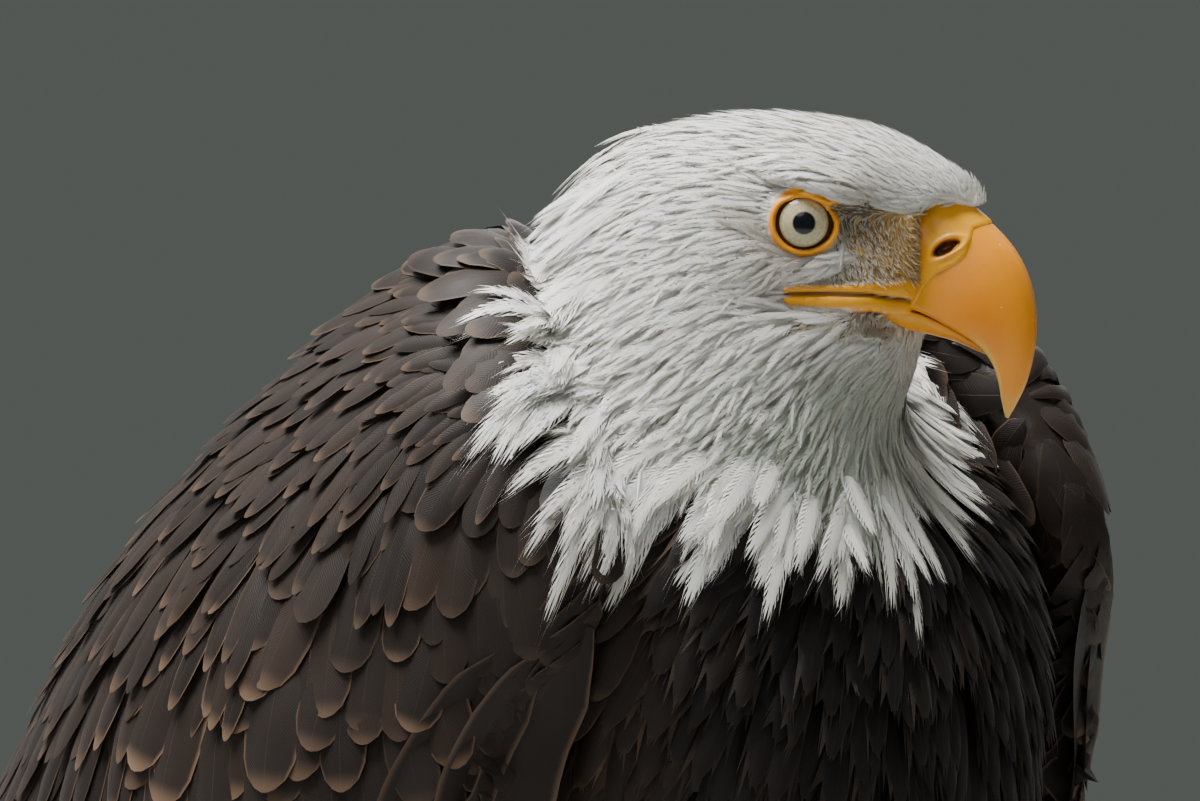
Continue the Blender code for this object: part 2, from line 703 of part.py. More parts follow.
def centre_on_origin():
    """Moves the whole bird so that its box stands centred on the origin."""
    bpy.context.view_layer.update()
    graph = bpy.context.evaluated_depsgraph_get()
    corners = []
    for piece in collection("bald_eagle").objects:
        mesh = piece.evaluated_get(graph).to_mesh()
        corners += [vertex.co.copy() for vertex in mesh.vertices]
    low = [min(c[k] for c in corners) for k in range(3)]
    high = [max(c[k] for c in corners) for k in range(3)]
    shift = Vector((-(low[0] + high[0]) / 2, -(low[1] + high[1]) / 2, -low[2]))
    moved = set()
    for piece in bpy.data.objects:
        if piece.type == "MESH" and piece.data.name not in moved:
            moved.add(piece.data.name)
            piece.data.transform(Matrix.Translation(shift))
    print("moved by", [round(value, 6) for value in shift])


def main():
    for leftover in list(bpy.data.objects):
        bpy.data.objects.remove(leftover)
    trunk, neck = make_trunk_and_head()
    tail = make_tail(trunk)
    wings = make_wings(trunk, neck, tail)
    make_legs(trunk, wings)
    centre_on_origin()


main()
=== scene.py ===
import math

import bmesh
import bpy
import numpy as np
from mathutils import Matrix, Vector
from mathutils.bvhtree import BVHTree
from mathutils.kdtree import KDTree


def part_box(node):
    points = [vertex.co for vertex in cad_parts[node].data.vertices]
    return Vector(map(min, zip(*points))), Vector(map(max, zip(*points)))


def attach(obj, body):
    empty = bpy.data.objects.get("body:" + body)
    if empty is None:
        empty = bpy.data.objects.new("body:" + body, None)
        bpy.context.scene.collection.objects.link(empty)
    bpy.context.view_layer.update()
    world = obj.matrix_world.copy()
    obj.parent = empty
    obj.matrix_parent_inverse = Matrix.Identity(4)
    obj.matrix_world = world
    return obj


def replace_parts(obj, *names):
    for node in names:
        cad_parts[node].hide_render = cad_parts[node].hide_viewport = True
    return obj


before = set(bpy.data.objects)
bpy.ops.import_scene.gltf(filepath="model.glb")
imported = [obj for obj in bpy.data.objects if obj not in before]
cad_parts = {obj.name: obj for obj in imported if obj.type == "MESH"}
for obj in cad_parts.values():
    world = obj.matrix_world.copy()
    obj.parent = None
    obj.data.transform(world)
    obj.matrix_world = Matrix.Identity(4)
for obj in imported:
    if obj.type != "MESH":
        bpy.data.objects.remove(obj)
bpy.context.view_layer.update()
dice = np.random.default_rng(23)
mm = 0.001
bothSides = ("right", "left")

# The head's own axes. Its middle lies between the eyes, a little ahead of the eyeballs' centres.
pose = {"turn": math.radians(35), "eyeBack": 3.4 * mm, "startY": -0.0375}
ahead = np.array([math.sin(pose["turn"]), -math.cos(pose["turn"]), 0.0])
rightward = np.array([-math.cos(pose["turn"]), -math.sin(pose["turn"]), 0.0])
upward = np.array([0.0, 0.0, 1.0])
eyeCentres = {side: np.mean(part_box("eye_" + side), axis=0) for side in bothSides}
headPoint = (eyeCentres["right"] + eyeCentres["left"]) / 2 + ahead * pose["eyeBack"]
shiftY = headPoint[1] - pose["startY"]
print("frame loaded, head at", np.round(headPoint, 4))


def smooth(low, high, value):
    # 0 below low, 1 above high, an S curve between
    t = np.clip((value - low) / (high - low), 0, 1)
    return t * t * (3 - 2 * t)


def smoothMm(low, high, value):
    return smooth(low * mm, high * mm, value)


def within(value, low, high):
    # whether a length lies between two limits in mm
    return (value > low * mm) & (value < high * mm)


def bell(value, width, exponent=2):
    return np.exp(-((value / width) ** exponent))


def varying(low, high, items):
    # a random number for each item
    return dice.uniform(low, high, len(items))


def unit(vectors):
    return vectors / np.maximum(np.linalg.norm(vectors, axis=-1, keepdims=True), 1e-12)


def rowsAt(table, at):
    # the smooth cubic through a table's rows, at fractional row places
    rows = np.asarray(table, float)
    rows = np.vstack([2 * rows[0] - rows[1], rows, 2 * rows[-1] - rows[-2]])
    at = np.asarray(at, float)
    i = np.clip(np.floor(at).astype(int), 0, len(rows) - 4)
    t = (at - i)[..., None]
    before, a, b, after = rows[i], rows[i + 1], rows[i + 2], rows[i + 3]
    return (
        a * (2 * t**3 - 3 * t**2 + 1)
        + (b - before) / 2 * (t**3 - 2 * t**2 + t)
        + b * (3 * t**2 - 2 * t**3)
        + (after - a) / 2 * (t**3 - t**2)
    )


def tableAt(table, key, at, places="places"):
    return np.interp(at, table[places], table[key])


def grid(rows, columns):
    return np.meshgrid(rows, columns, indexing="ij")


def power(value, exponent):
    return np.sign(value) * np.abs(value) ** exponent


def toHead(points):
    # points as distances ahead, to the right and up from the head's middle
    offset = points - headPoint
    return offset @ ahead, offset @ rightward, offset[..., 2]


def fromHead(far, side, up):
    far, side, up = np.broadcast_arrays(far, side, up)
    return headPoint + far[..., None] * ahead + side[..., None] * rightward + up[..., None] * upward


def gridFaces(rows, columns, closed):
    # quads of a grid of rows x columns, wrapped round its columns if closed
    wide = columns if closed else columns - 1
    i, j = grid(np.arange(rows - 1), np.arange(wide))
    nextJ = (j + 1) % columns
    near, far = i * columns, (i + 1) * columns
    quads = np.stack([near + j, near + nextJ, far + nextJ, far + j], -1)
    return quads.reshape(-1, 4)


def loftShell(points):
    # a closed shell through a grid of rings: its quads and a flat cap at each end
    rows, columns = points.shape[:2]
    faces = gridFaces(rows, columns, True).tolist()
    faces.append(list(range(columns))[::-1])
    faces.append(list(range((rows - 1) * columns, rows * columns)))
    return points.reshape(-1, 3), faces


def meshFrom(name, shells):
    # one mesh of several shells, with every shell's faces turned outwards
    points, faces, start = [], [], 0
    for shellPoints, shellFaces in shells:
        points.append(shellPoints)
        faces += [[corner + start for corner in face] for face in shellFaces]
        start += len(shellPoints)
    mesh = bpy.data.meshes.new(name)
    mesh.from_pydata(np.concatenate(points).tolist(), [], faces)
    work = bmesh.new()
    work.from_mesh(mesh)
    bmesh.ops.recalc_face_normals(work, faces=work.faces)
    work.to_mesh(mesh)
    work.free()
    mesh.shade_smooth()
    return mesh


def pieceFrom(name, mesh, finish, body="root"):
    piece = bpy.data.objects.new(name, mesh)
    bpy.context.scene.collection.objects.link(piece)
    mesh.materials.clear()
    mesh.materials.append(finish)
    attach(piece, body)
    return piece


def paint(mesh, name, values):
    # stores one colour or number for each vertex
    kind = "FLOAT_COLOR" if values.ndim == 2 else "FLOAT"
    layer = mesh.attributes.get(name) or mesh.attributes.new(name, kind, "POINT")
    if kind == "FLOAT_COLOR":
        rgba = np.ones((len(values), 4), np.float32)
        rgba[:, :3] = values
        layer.data.foreach_set("color", rgba.ravel())
    else:
        layer.data.foreach_set("value", values.astype(np.float32))


def fetched(items, name, width=1, kind=float):
    # one property of all items, as an array
    values = np.empty(len(items) * width, kind)
    items.foreach_get(name, values)
    return values.reshape(-1, width) if width > 1 else values


def vertexPlaces(mesh):
    return fetched(mesh.vertices, "co", 3)


body = {
    # each section: ahead, up of the back; ahead, up of the belly; half width; share of the head's turn
    "table": (
        (-0.266, -0.262, -0.244, -0.304, 0.026, 0.0),
        (-0.262, -0.236, -0.204, -0.334, 0.047, 0.0),
        (-0.248, -0.186, -0.142, -0.340, 0.068, 0.0),
        (-0.222, -0.136, -0.072, -0.322, 0.083, 0.0),
        (-0.187, -0.090, -0.008, -0.278, 0.091, 0.0),
        (-0.147, -0.046, 0.031, -0.216, 0.092, 0.0),
        (-0.110, -0.016, 0.043, -0.158, 0.092, 0.10),
        (-0.0860, -0.0110, 0.0380, -0.1120, 0.0840, 0.30),
        (-0.0775, 0.0025, 0.0270, -0.0890, 0.0680, 0.60),
        (-0.0660, 0.0160, 0.0205, -0.0750, 0.0540, 0.85),
        (-0.0490, 0.0254, 0.0180, -0.0650, 0.0435, 1.0),
        (-0.0275, 0.0291, 0.0175, -0.0580, 0.0370, 1.0),
        (-0.0060, 0.0288, 0.0180, -0.0520, 0.0315, 1.0),
        (0.0135, 0.0253, 0.0192, -0.0455, 0.0262, 1.0),
        (0.0285, 0.0183, 0.0205, -0.0395, 0.0195, 1.0),
        (0.0380, 0.0112, 0.0225, -0.0335, 0.0130, 1.0),
        (0.0425, 0.0055, 0.0265, -0.0250, 0.0075, 1.0),
    ),
    "roundness": 0.93,
    "headStart": 9.6,
    "forehead": 16.0,
    # the coat's depth over the skin, from the tail's root to the forehead
    "coatPlaces": (0, 1.5, 4, 7, 8.5, 9.6, 11, 12.5, 13.8, 14.8, 16),
    "coatDepths": (0.004, 0.007, 0.009, 0.009, 0.0075, 0.0060, 0.0040, 0.0026, 0.0016, 0.0008, 0.0004),
    # where the skin turns white: turn round the body, section, and metres to a section there
    "collarTurns": (
        0, 0.08, 0.12, 0.16, 0.20, 0.25, 0.30, 0.35, 0.40, 0.45, 0.50, 0.56, 0.62, 0.70, 0.80, 0.90, 1,
    ),
    "collar": (9.1, 9.1, 9.0, 8.2, 7.4, 7.0, 7.5, 7.7, 7.95, 8.4, 9.6, 10.5, 9.6, 8.3, 7.9, 8.6, 9.1),
    "collarScale": (
        0.024, 0.028, 0.031, 0.033, 0.034, 0.035, 0.037, 0.039, 0.040,
        0.035, 0.024, 0.014, 0.012, 0.015, 0.022, 0.026, 0.024,
    ),
}
headForms = {
    # centre, reach, height: ahead, side, up
    "brow": ((0.003, 0.031, 0.0125), (0.016, 0.012, 0.0050), 0.0040),
    "socket": ((0.002, 0.033, 0.0), (0.0125, 0.014, 0.0090), -0.0042),
    "lore": ((0.019, 0.021, -0.005), (0.009, 0.012, 0.0085), -0.0035),
    "mouth": ((-0.001, 0.034, -0.022), (0.0130, 0.016, 0.0080), -0.0045),
    "cheek": ((-0.020, 0.036, -0.012), (0.014, 0.014, 0.0100), 0.0015),
    "chin": ((0.021, 0.0, -0.041), (0.010, 0.017, 0.0095), 0.0060),
}


def bodyPoint(u, v, depth=0.0):
    # a section's fuller-than-elliptic ring: v runs once round from the back over the right side to the belly
    row = rowsAt(body["table"], u)
    backAhead, backUp, bellyAhead, bellyUp, half, turned = np.moveaxis(row, -1, 0)
    yaw = pose["turn"] * turned
    forward = np.stack([np.sin(yaw), -np.cos(yaw), 0 * yaw], -1)
    sideways = np.stack([-np.cos(yaw), -np.sin(yaw), 0 * yaw], -1)
    start = np.stack([headPoint[0] * turned, headPoint[1] + 0 * yaw, headPoint[2] + 0 * yaw], -1)
    back = start + forward * backAhead[..., None] + upward * backUp[..., None]
    belly = start + forward * bellyAhead[..., None] + upward * bellyUp[..., None]
    centre, rise = (back + belly) / 2, (back - belly) / 2
    c = power(np.cos(2 * np.pi * v), body["roundness"])[..., None]
    s = power(np.sin(2 * np.pi * v), body["roundness"])[..., None]
    out = rise * c + sideways * half[..., None] * s
    point = centre + out
    far, side, up = toHead(point)
    push = np.zeros_like(far)
    for (a, b, d), (ra, rb, rd), height in headForms.values():
        away = ((far - a) / ra) ** 2 + ((np.abs(side) - b) / rb) ** 2 + ((up - d) / rd) ** 2
        push += height * np.exp(-away)
    push *= smooth(body["headStart"] - 0.4, body["headStart"] + 0.4, np.asarray(u))
    return point + unit(out) * (push - depth)[..., None]


def coatDepth(u):
    return tableAt(body, "coatDepths", u, "coatPlaces")


mirror = {"right": np.array([1.0, 1.0, 1.0]), "left": np.array([-1.0, 1.0, 1.0])}
wing = {
    # each section: upper edge, widest point, lower edge as x, y, height over the eyes; thickness
    "table": (
        (-0.074, -0.026, -0.046, -0.082, -0.030, -0.054, -0.080, -0.040, -0.068, 0.012),
        (-0.055, 0.020, -0.015, -0.100, -0.012, -0.039, -0.086, -0.048, -0.098, 0.036),
        (-0.040, 0.052, -0.018, -0.117, 0.040, -0.065, -0.099, -0.029, -0.136, 0.050),
        (-0.026, 0.092, -0.053, -0.130, 0.091, -0.099, -0.105, -0.014, -0.180, 0.060),
        (-0.022, 0.139, -0.095, -0.135, 0.138, -0.145, -0.104, 0.024, -0.228, 0.060),
        (-0.020, 0.186, -0.152, -0.130, 0.185, -0.199, -0.096, 0.077, -0.284, 0.046),
        (-0.016, 0.230, -0.210, -0.112, 0.234, -0.256, -0.082, 0.142, -0.338, 0.026),
        (-0.012, 0.270, -0.276, -0.088, 0.274, -0.318, -0.072, 0.200, -0.388, 0.014),
        (-0.011, 0.305, -0.338, -0.066, 0.306, -0.372, -0.062, 0.255, -0.428, 0.010),
        (-0.011, 0.336, -0.400, -0.048, 0.337, -0.424, -0.050, 0.306, -0.462, 0.007),
        (-0.020, 0.361, -0.458, -0.031, 0.362, -0.466, -0.036, 0.352, -0.478, 0.004),
    ),
    "hollow": -0.2, "skinShare": 0.8,
    "coatPlaces": (0, 1, 3, 5, 6.5, 8, 10),
    "coatDepths": (0.0040, 0.0065, 0.0085, 0.0085, 0.0060, 0.0035, 0.0016),
}


def wingPoint(u, v, side, depth=0.0):
    # half an ellipse through three points for v from 0 to 1, and a shallower one inside it for v from 1 to 2
    row = rowsAt(wing["table"], u)
    shift = np.array([0.0, shiftY, headPoint[2]])
    upper, widest, lower = (row[..., k : k + 3] + shift for k in (0, 3, 6))
    middle, half = (upper + lower) / 2, (upper - lower) / 2
    bulge = widest - middle
    shallow = np.maximum(wing["hollow"], 1 - row[..., 9] / np.linalg.norm(bulge, axis=-1))
    c, s = np.cos(np.pi * v)[..., None], np.sin(np.pi * v)[..., None]
    outer = np.asarray(v)[..., None] <= 1
    point = middle + half * c + bulge * np.where(outer, s, -s * shallow[..., None])
    point = point - unit(bulge) * np.where(outer, np.asarray(depth)[..., None] * np.clip(1.6 * s, 0.2, 1), 0)
    return point * mirror[side]


def wingCoat(u):
    return tableAt(wing, "coatDepths", u, "coatPlaces")


thigh = {
    # each section: x, y of the centre before shifting, height, half width, half depth
    "table": (
        (-0.052, 0.080, 0.290, 0.032, 0.054),
        (-0.056, 0.077, 0.240, 0.041, 0.062),
        (-0.058, 0.078, 0.195, 0.041, 0.058),
        (-0.057, 0.084, 0.152, 0.035, 0.047),
        (-0.054, 0.094, 0.112, 0.027, 0.034),
        (-0.053, 0.099, 0.074, 0.017, 0.022),
    ),
    "coatPlaces": (0, 2, 4, 5),
    "coatDepths": (0.006, 0.007, 0.006, 0.0035),
}


def thighPoint(u, v, side, depth=0.0):
    # level ellipses: v runs once round
    x, y, z, wide, deep = np.moveaxis(rowsAt(thigh["table"], u), -1, 0)
    c, s = np.cos(2 * np.pi * v), np.sin(2 * np.pi * v)
    point = np.stack([x + (wide - depth) * c, y + shiftY + (deep - depth) * s, z + 0 * c], -1)
    return point * mirror[side]


def thighCoat(u):
    return tableAt(thigh, "coatDepths", u, "coatPlaces")


colours = {
    "white": (0.86, 0.85, 0.80),
    "dusky": (0.42, 0.36, 0.28),
    "brown": (0.0205, 0.0135, 0.0105),
    "black": (0.0075, 0.0060, 0.0060),
    "quill": (0.0130, 0.0105, 0.0100),
    "covert": (0.0200, 0.0140, 0.0115),
    "bareSkin": (0.72, 0.40, 0.035),
    "lore": (0.66, 0.36, 0.05),
    "loreRear": (0.30, 0.22, 0.13),
    "lip": (0.90, 0.40, 0.004),
    # painted greenish-grey shade for the underside of the throat and neck
    "shadedThroat": (0.44, 0.49, 0.40),
    "bristleDark": (0.085, 0.058, 0.036),
    "bristleYellow": (0.66, 0.38, 0.08),
    "jaw": (0.84, 0.31, 0.004),
    # painted shade for the slit between the lips
    "mouthSlitShade": (0.10, 0.035, 0.01),
    "lid": (0.90, 0.34, 0.004),
    "lidFold": (0.92, 0.37, 0.006),
    "horn": (0.94, 0.345, 0.006),
    "hornRosy": (0.92, 0.36, 0.09),
    "hornDeep": (0.86, 0.255, 0.0),
    # painted highlight along the bill's ridge
    "hornRidgeHighlight": (0.92, 0.42, 0.14),
    "hornEdge": (0.84, 0.60, 0.16),
    "hornTip": (0.80, 0.56, 0.14),
    "lowerHorn": (0.90, 0.36, 0.004),
    # painted shade for the underside and tip of the lower bill
    "lowerShade": (0.40, 0.13, 0.003),
    "cere": (0.95, 0.43, 0.006),
    "nostrilRim": (0.35, 0.10, 0.012),
    # painted shade for the walls and floor of the nostril's hollow
    "nostril": (0.045, 0.008, 0.004),
    "nostrilFloorShade": (0.17, 0.030, 0.010),
}
colours = {name: np.array(value) for name, value in colours.items()}


def blended(first, second, share):
    return first + (second - first) * np.asarray(share)[..., None]


def layered(colour, *layers):
    # named colours laid over a first one, each by its share
    for name, share in layers:
        colour = blended(colour, colours[name], share)
    return colour


def collarGap(u, v):
    # how far over the border of the white a place on the body lies
    border, scale = (tableAt(body, key, v % 1, "collarTurns") for key in ("collar", "collarScale"))
    return (u - border) * scale


onWing = -1.0  # stands for the collar's gap anywhere on a wing


def makePlaceTree():
    # finds the place on body or wings that is nearest to a point
    u, v = map(np.ravel, grid(np.linspace(0, 16, 130), np.arange(96) / 96))
    spots, gaps = [bodyPoint(u, v, coatDepth(u))], [collarGap(u, v)]
    uv = np.stack([u, v], -1)
    wingU, wingV = map(np.ravel, grid(np.linspace(0, 10, 90), np.linspace(0, 2, 60)))
    for side in bothSides:
        spots.append(wingPoint(wingU, wingV, side, wingCoat(wingU) * wing["skinShare"]))
        gaps.append(np.full(len(wingU), onWing))
    spots, gaps = np.vstack(spots), np.concatenate(gaps)
    tree = KDTree(len(spots))
    for index, spot in enumerate(spots.tolist()):
        tree.insert(spot, index)
    tree.balance()
    return tree, gaps, uv


placeTree, placeGaps, placeUv = makePlaceTree()


def collarHeight(points):
    # the same for any point: that of the nearest place on the body, and onWing on the wings
    high = np.full(len(points), -0.05)
    for k in np.nonzero((points[:, 2] > 0.34) | (points[:, 1] > 0.14 + shiftY))[0]:
        high[k] = placeGaps[placeTree.find(points[k])[1]]
    return high


def bodyPlaces(points):
    # section and turn of the nearest place on the body
    return placeUv[np.minimum([placeTree.find(point)[1] for point in points], len(placeUv) - 1)]


# the white under the tail starts here along y, before shifting, and farther back the higher it lies
rump = {"from": 0.236, "to": 0.248, "lean": 0.8, "level": 0.30}


def markings(points):
    # white over the collar and behind the rump, brown elsewhere, nearly black on the breast, bare yellow feet
    y, z = points[..., 1] - shiftY, points[..., 2]
    breast = smooth(0.10, 0.02, y) * smooth(0.075, 0.055, np.abs(points[..., 0]))
    high = collarHeight(points)
    behind = smooth(rump["from"], rump["to"], y + rump["lean"] * (rump["level"] - z))
    underTail = behind * smooth(0.07, 0.05, np.abs(points[..., 0])) * (high > onWing)
    leg = smooth(0.095, 0.085, z) * (y < 0.15)
    return layered(
        colours["brown"], ("black", 0.75 * breast), ("white", underTail),
        ("white", smooth(-0.004, 0.004, high)), ("bareSkin", leg),
    )


print("form and markings ready")


def newGroup(name, inputs, outputs):
    group = bpy.data.node_groups.new(name, "ShaderNodeTree")
    for label, kind, value in inputs:
        socket = group.interface.new_socket(label, in_out="INPUT", socket_type="NodeSocket" + kind)
        socket.default_value = value
    for label, kind in outputs:
        group.interface.new_socket(label, in_out="OUTPUT", socket_type="NodeSocket" + kind)
    start, end = group.nodes.new("NodeGroupInput"), group.nodes.new("NodeGroupOutput")
    return group, start, end


class Wires:
    # short ways to add nodes to a tree and join them
    def __init__(self, tree, shader=None):
        self.tree, self.shader = tree, shader

    def link(self, source, target):
        if isinstance(source, (int, float)):
            target.default_value = source
        elif isinstance(source, (tuple, list, np.ndarray)):
            target.default_value = (*source, 1.0)[: len(target.default_value)]
        else:
            self.tree.links.new(source, target)

    def send(self, source, label):
        self.link(source, self.shader.inputs[label])

    def add(self, kind, values=(), output=0, **settings):
        # a node with its settings, and values or links at its inputs by their numbers or names
        node = self.tree.nodes.new("ShaderNode" + kind)
        for name, value in settings.items():
            setattr(node, name, value)
        for label, value in dict(values).items():
            self.link(value, node.inputs[label])
        return node.outputs[output]

    def math(self, operation, first, second=0.0, third=0.0):
        return self.add("Math", enumerate((first, second, third)), operation=operation)

    def times(self, first, second):
        return self.math("MULTIPLY", first, second)

    def mix(self, share, first, second):
        return self.add("Mix", {0: share, 6: first, 7: second}, 2, data_type="RGBA")

    def ramp(self, value, low, high, toLow=0.0, toHigh=1.0):
        limits = enumerate((value, low, high, toLow, toHigh))
        return self.add("MapRange", limits, interpolation_type="SMOOTHSTEP")

    def noise(self, vector, scale, detail=2.0, rough=0.5):
        values = {"Vector": vector, "Scale": scale, "Detail": detail, "Roughness": rough}
        return self.add("TexNoise", values, "Fac")

    def cells(self, vector, scale, feature="F1"):
        return self.add("TexVoronoi", {"Vector": vector, "Scale": scale}, "Distance", feature=feature)

    def attribute(self, name, output="Fac"):
        return self.add("Attribute", output=output, attribute_name=name)

    def uv(self, name):
        parts = self.tree.nodes.new("ShaderNodeSeparateXYZ")
        self.link(self.add("UVMap", uv_map=name), parts.inputs[0])
        return parts.outputs[0], parts.outputs[1]

    def place(self):
        return self.add("TexCoord", output="Object")

    def group(self, group, **values):
        node = self.tree.nodes.new("ShaderNodeGroup")
        node.node_tree = group
        for label, value in values.items():
            self.link(value, node.inputs[label.replace("_", " ")])
        return node.outputs

    def bump(self, height, distance, strength):
        return self.add("Bump", {"Strength": strength, "Distance": distance, "Height": height}, "Normal")


def finishNamed(name, **settings):
    # a material with one Principled shader whose plain values are set on its own sockets
    finish = bpy.data.materials.new(name)
    finish.use_nodes = True
    shader = finish.node_tree.nodes["Principled BSDF"]
    for label, value in settings.items():
        shader.inputs[label.replace("_", " ")].default_value = value
    return finish, Wires(finish.node_tree, shader)


def makeVaneGroup():
    # a feather's barbs, shaft and edge, from its own map: u across from 0 to 1, v along from root to tip
    group, start, end = newGroup(
        "vane",
        (
            ("Across", "Float", 0.5), ("Along", "Float", 0.5),
            ("Length", "Float", 0.03), ("Width", "Float", 0.01),
            ("Barb Spacing", "Float", 0.0006), ("Barb Slant", "Float", 0.9), ("Shaft Width", "Float", 0.03),
            ("Edge Start", "Float", 0.75),
        ),
        (("Barbs", "Float"), ("Shaft", "Float"), ("Edge", "Float"), ("Height", "Float")),
    )
    w = Wires(group)
    get = start.outputs
    across = w.times(w.math("ABSOLUTE", w.math("SUBTRACT", get["Across"], 0.5)), 2.0)
    alongMetres = w.times(get["Along"], get["Length"])
    halfWidth = w.times(across, get["Width"])
    acrossMetres = w.times(halfWidth, w.times(get["Barb Slant"], 0.5))
    phase = w.math("DIVIDE", w.math("SUBTRACT", alongMetres, acrossMetres), get["Barb Spacing"])
    wander = w.noise(w.place(), 260.0, 2.0)
    turned = w.times(w.math("ADD", phase, w.times(wander, 1.6)), 2 * math.pi)
    wave = w.math("SINE", turned)
    barbs = w.math("MULTIPLY_ADD", wave, 0.5, 0.5)
    thinning = w.math("SUBTRACT", 1.0, w.times(get["Along"], 0.75))
    shaft = w.ramp(across, w.times(get["Shaft Width"], thinning), 0.0)
    edge = w.ramp(w.math("MAXIMUM", across, get["Along"]), get["Edge Start"], 1.0)
    height = w.math("MULTIPLY_ADD", barbs, 0.35, shaft)
    for value, label in ((barbs, "Barbs"), (shaft, "Shaft"), (edge, "Edge"), (height, "Height")):
        w.link(value, end.inputs[label])
    return group


vaneGroup = makeVaneGroup()


def featherFinish(name, barbSpacing, barbShade, shaftTint, edgeTint, edgeStart, roughness, sheen, depth=0.0):
    # colour comes from the feathers' own tint, shaded by barbs, with a paler shaft and edge
    finish, w = finishNamed(
        name, Roughness=roughness, Sheen_Weight=sheen, Sheen_Roughness=0.4, Specular_IOR_Level=0.22,
        Subsurface_Weight=depth, Subsurface_Radius=(0.004, 0.003, 0.002), Subsurface_Scale=1.0,
    )
    across, along = w.uv("vane")
    parts = w.group(
        vaneGroup, Across=across, Along=along, Length=w.attribute("length"), Width=w.attribute("width"),
        Barb_Spacing=barbSpacing, Edge_Start=edgeStart,
    )
    tint = w.attribute("tint", "Color")
    dark = w.mix(w.times(w.math("SUBTRACT", 1.0, parts["Barbs"]), barbShade), tint, (0, 0, 0))
    shafted = w.mix(w.times(parts["Shaft"], 0.6), dark, shaftTint)
    edged = w.mix(w.times(parts["Edge"], w.attribute("fringe")), shafted, edgeTint)
    w.send(edged, "Base Color")
    rough = w.math("MULTIPLY_ADD", w.noise(w.place(), 90.0), 0.2, roughness - 0.1)
    w.send(rough, "Roughness")
    w.send(w.bump(parts["Height"], 0.00018, 0.5), "Normal")
    return finish


finishes = {
    "white": featherFinish(
        "white_plumes", 0.0007, 0.16, (0.80, 0.78, 0.70), (0.88, 0.87, 0.83), 0.7, 0.72, 0.25, depth=0.25
    ),
    "brown": featherFinish(
        "brown_plumes", 0.0009, 0.20, (0.045, 0.030, 0.022), (0.19, 0.118, 0.075), 0.86, 0.58, 0.05
    ),
}


def skinFinish():
    # bare skin under the coat, and the scaly yellow skin of the legs and face
    finish, w = finishNamed("bird_skin", Roughness=0.5, Subsurface_Weight=0.1, Subsurface_Scale=0.003)
    place = w.place()
    tint = w.attribute("tint", "Color")
    blotch = w.noise(place, 160.0, 3.0)
    scaly = w.attribute("scaly")
    joints = w.ramp(w.cells(place, 330.0, "DISTANCE_TO_EDGE"), 0.0, 0.16)
    patches = w.times(w.ramp(blotch, 0.35, 0.7, 0.0, 0.35), scaly)
    shade = w.mix(patches, tint, w.mix(0.6, tint, (0.30, 0.12, 0.01)))
    gaps = w.times(w.math("SUBTRACT", 1.0, joints), 0.55)
    shade = w.mix(w.times(scaly, gaps), shade, (0.25, 0.11, 0.01))
    w.send(shade, "Base Color")
    grain = w.noise(place, 1500.0, 3.0)
    height = w.math("ADD", w.times(joints, scaly), w.times(grain, 0.25))
    w.send(w.bump(height, 0.0005, 0.8), "Normal")
    w.send(w.math("MULTIPLY_ADD", blotch, 0.25, 0.33), "Roughness")
    return finish


finishes["skin"] = skinFinish()
print("finishes ready")


skinParts = {"voxel": 2.6 * mm, "fineCuts": 3, "footVoxel": 1.1 * mm}
gaze = {"forwardTurn": math.radians(17), "ball": 11.5 * mm, "side": 20 * mm}


def gazeFrame(sign):
    # the eye's centre and its axes: out along the gaze, towards the bill, and up
    centre = fromHead(np.array(-pose["eyeBack"]), np.array(sign * gaze["side"]), np.array(0.0))
    out = rightward * sign * math.cos(gaze["forwardTurn"]) + ahead * math.sin(gaze["forwardTurn"])
    front = unit(ahead - out * (ahead @ out))
    return centre, out, front


def remeshed(name, mesh, voxel, passes):
    # one closed surface round overlapping shells, its steps smoothed away
    piece = bpy.data.objects.new(name, mesh)
    bpy.context.scene.collection.objects.link(piece)
    remesh = piece.modifiers.new("union", "REMESH")
    remesh.mode, remesh.voxel_size, remesh.use_smooth_shade = "VOXEL", voxel, True
    relax = piece.modifiers.new("relax", "SMOOTH")
    relax.factor, relax.iterations = 0.5, passes
    bpy.context.view_layer.update()
    result = bpy.data.meshes.new_from_object(piece.evaluated_get(bpy.context.evaluated_depsgraph_get()))
    result.name = name
    bpy.data.objects.remove(piece)
    return result


def bodyShells():
    # one closed shell for each large form, where the skin lies under the coat
    u, v = grid(np.linspace(0, body["forehead"], 130), np.arange(96) / 96)
    shells = [loftShell(bodyPoint(u, v, coatDepth(u)))]
    wingU, wingV = grid(np.linspace(0, 10, 90), np.arange(64) / 32)
    thighU, thighV = grid(np.linspace(0, 5, 40), np.arange(40) / 40)
    for side in bothSides:
        shells.append(loftShell(wingPoint(wingU, wingV, side, wingCoat(wingU) * wing["skinShare"])))
        shells.append(loftShell(thighPoint(thighU, thighV, side, thighCoat(thighU))))
    return shells


foot = {
    "spread": 0.058, "y": 0.084, "turn": math.radians(9), "ankle": 0.0165, "heel": (0.050, 0.103, 0.106),
    # heading out from straight ahead, length, radius, claw length
    "toes": {
        "hallux": (math.radians(168), 0.036, 0.0088, 0.040),
        "inner": (math.radians(-38), 0.042, 0.0086, 0.036),
        "middle": (0.0, 0.064, 0.0084, 0.032),
        "outer": (math.radians(44), 0.050, 0.0076, 0.027),
    },
    "padSpacing": 0.021, "padRelief": 0.09, "knuckleRise": 0.0045, "knuckleEnd": 0.7, "soleDrop": 0.0014,
    "palm": (0.0142, 0.0155, 0.0162), "shank": (0.0100, 0.0098, 0.0090, 0.0088, 0.0094, 0.0104),
    "clawSweep": math.radians(112), "clawClearance": 0.0014, "sunk": 0.002, "scuteSpacing": 0.0042,
    "scuteRise": 0.0006, "rings": 50,
}


def footPlaces(side):
    sign = -1.0 if side == "right" else 1.0
    ankle = np.array([sign * foot["spread"], foot["y"] + shiftY, foot["ankle"]])
    heel = np.array([sign * foot["heel"][0], foot["heel"][1] + shiftY, foot["heel"][2]])
    return sign, ankle, heel


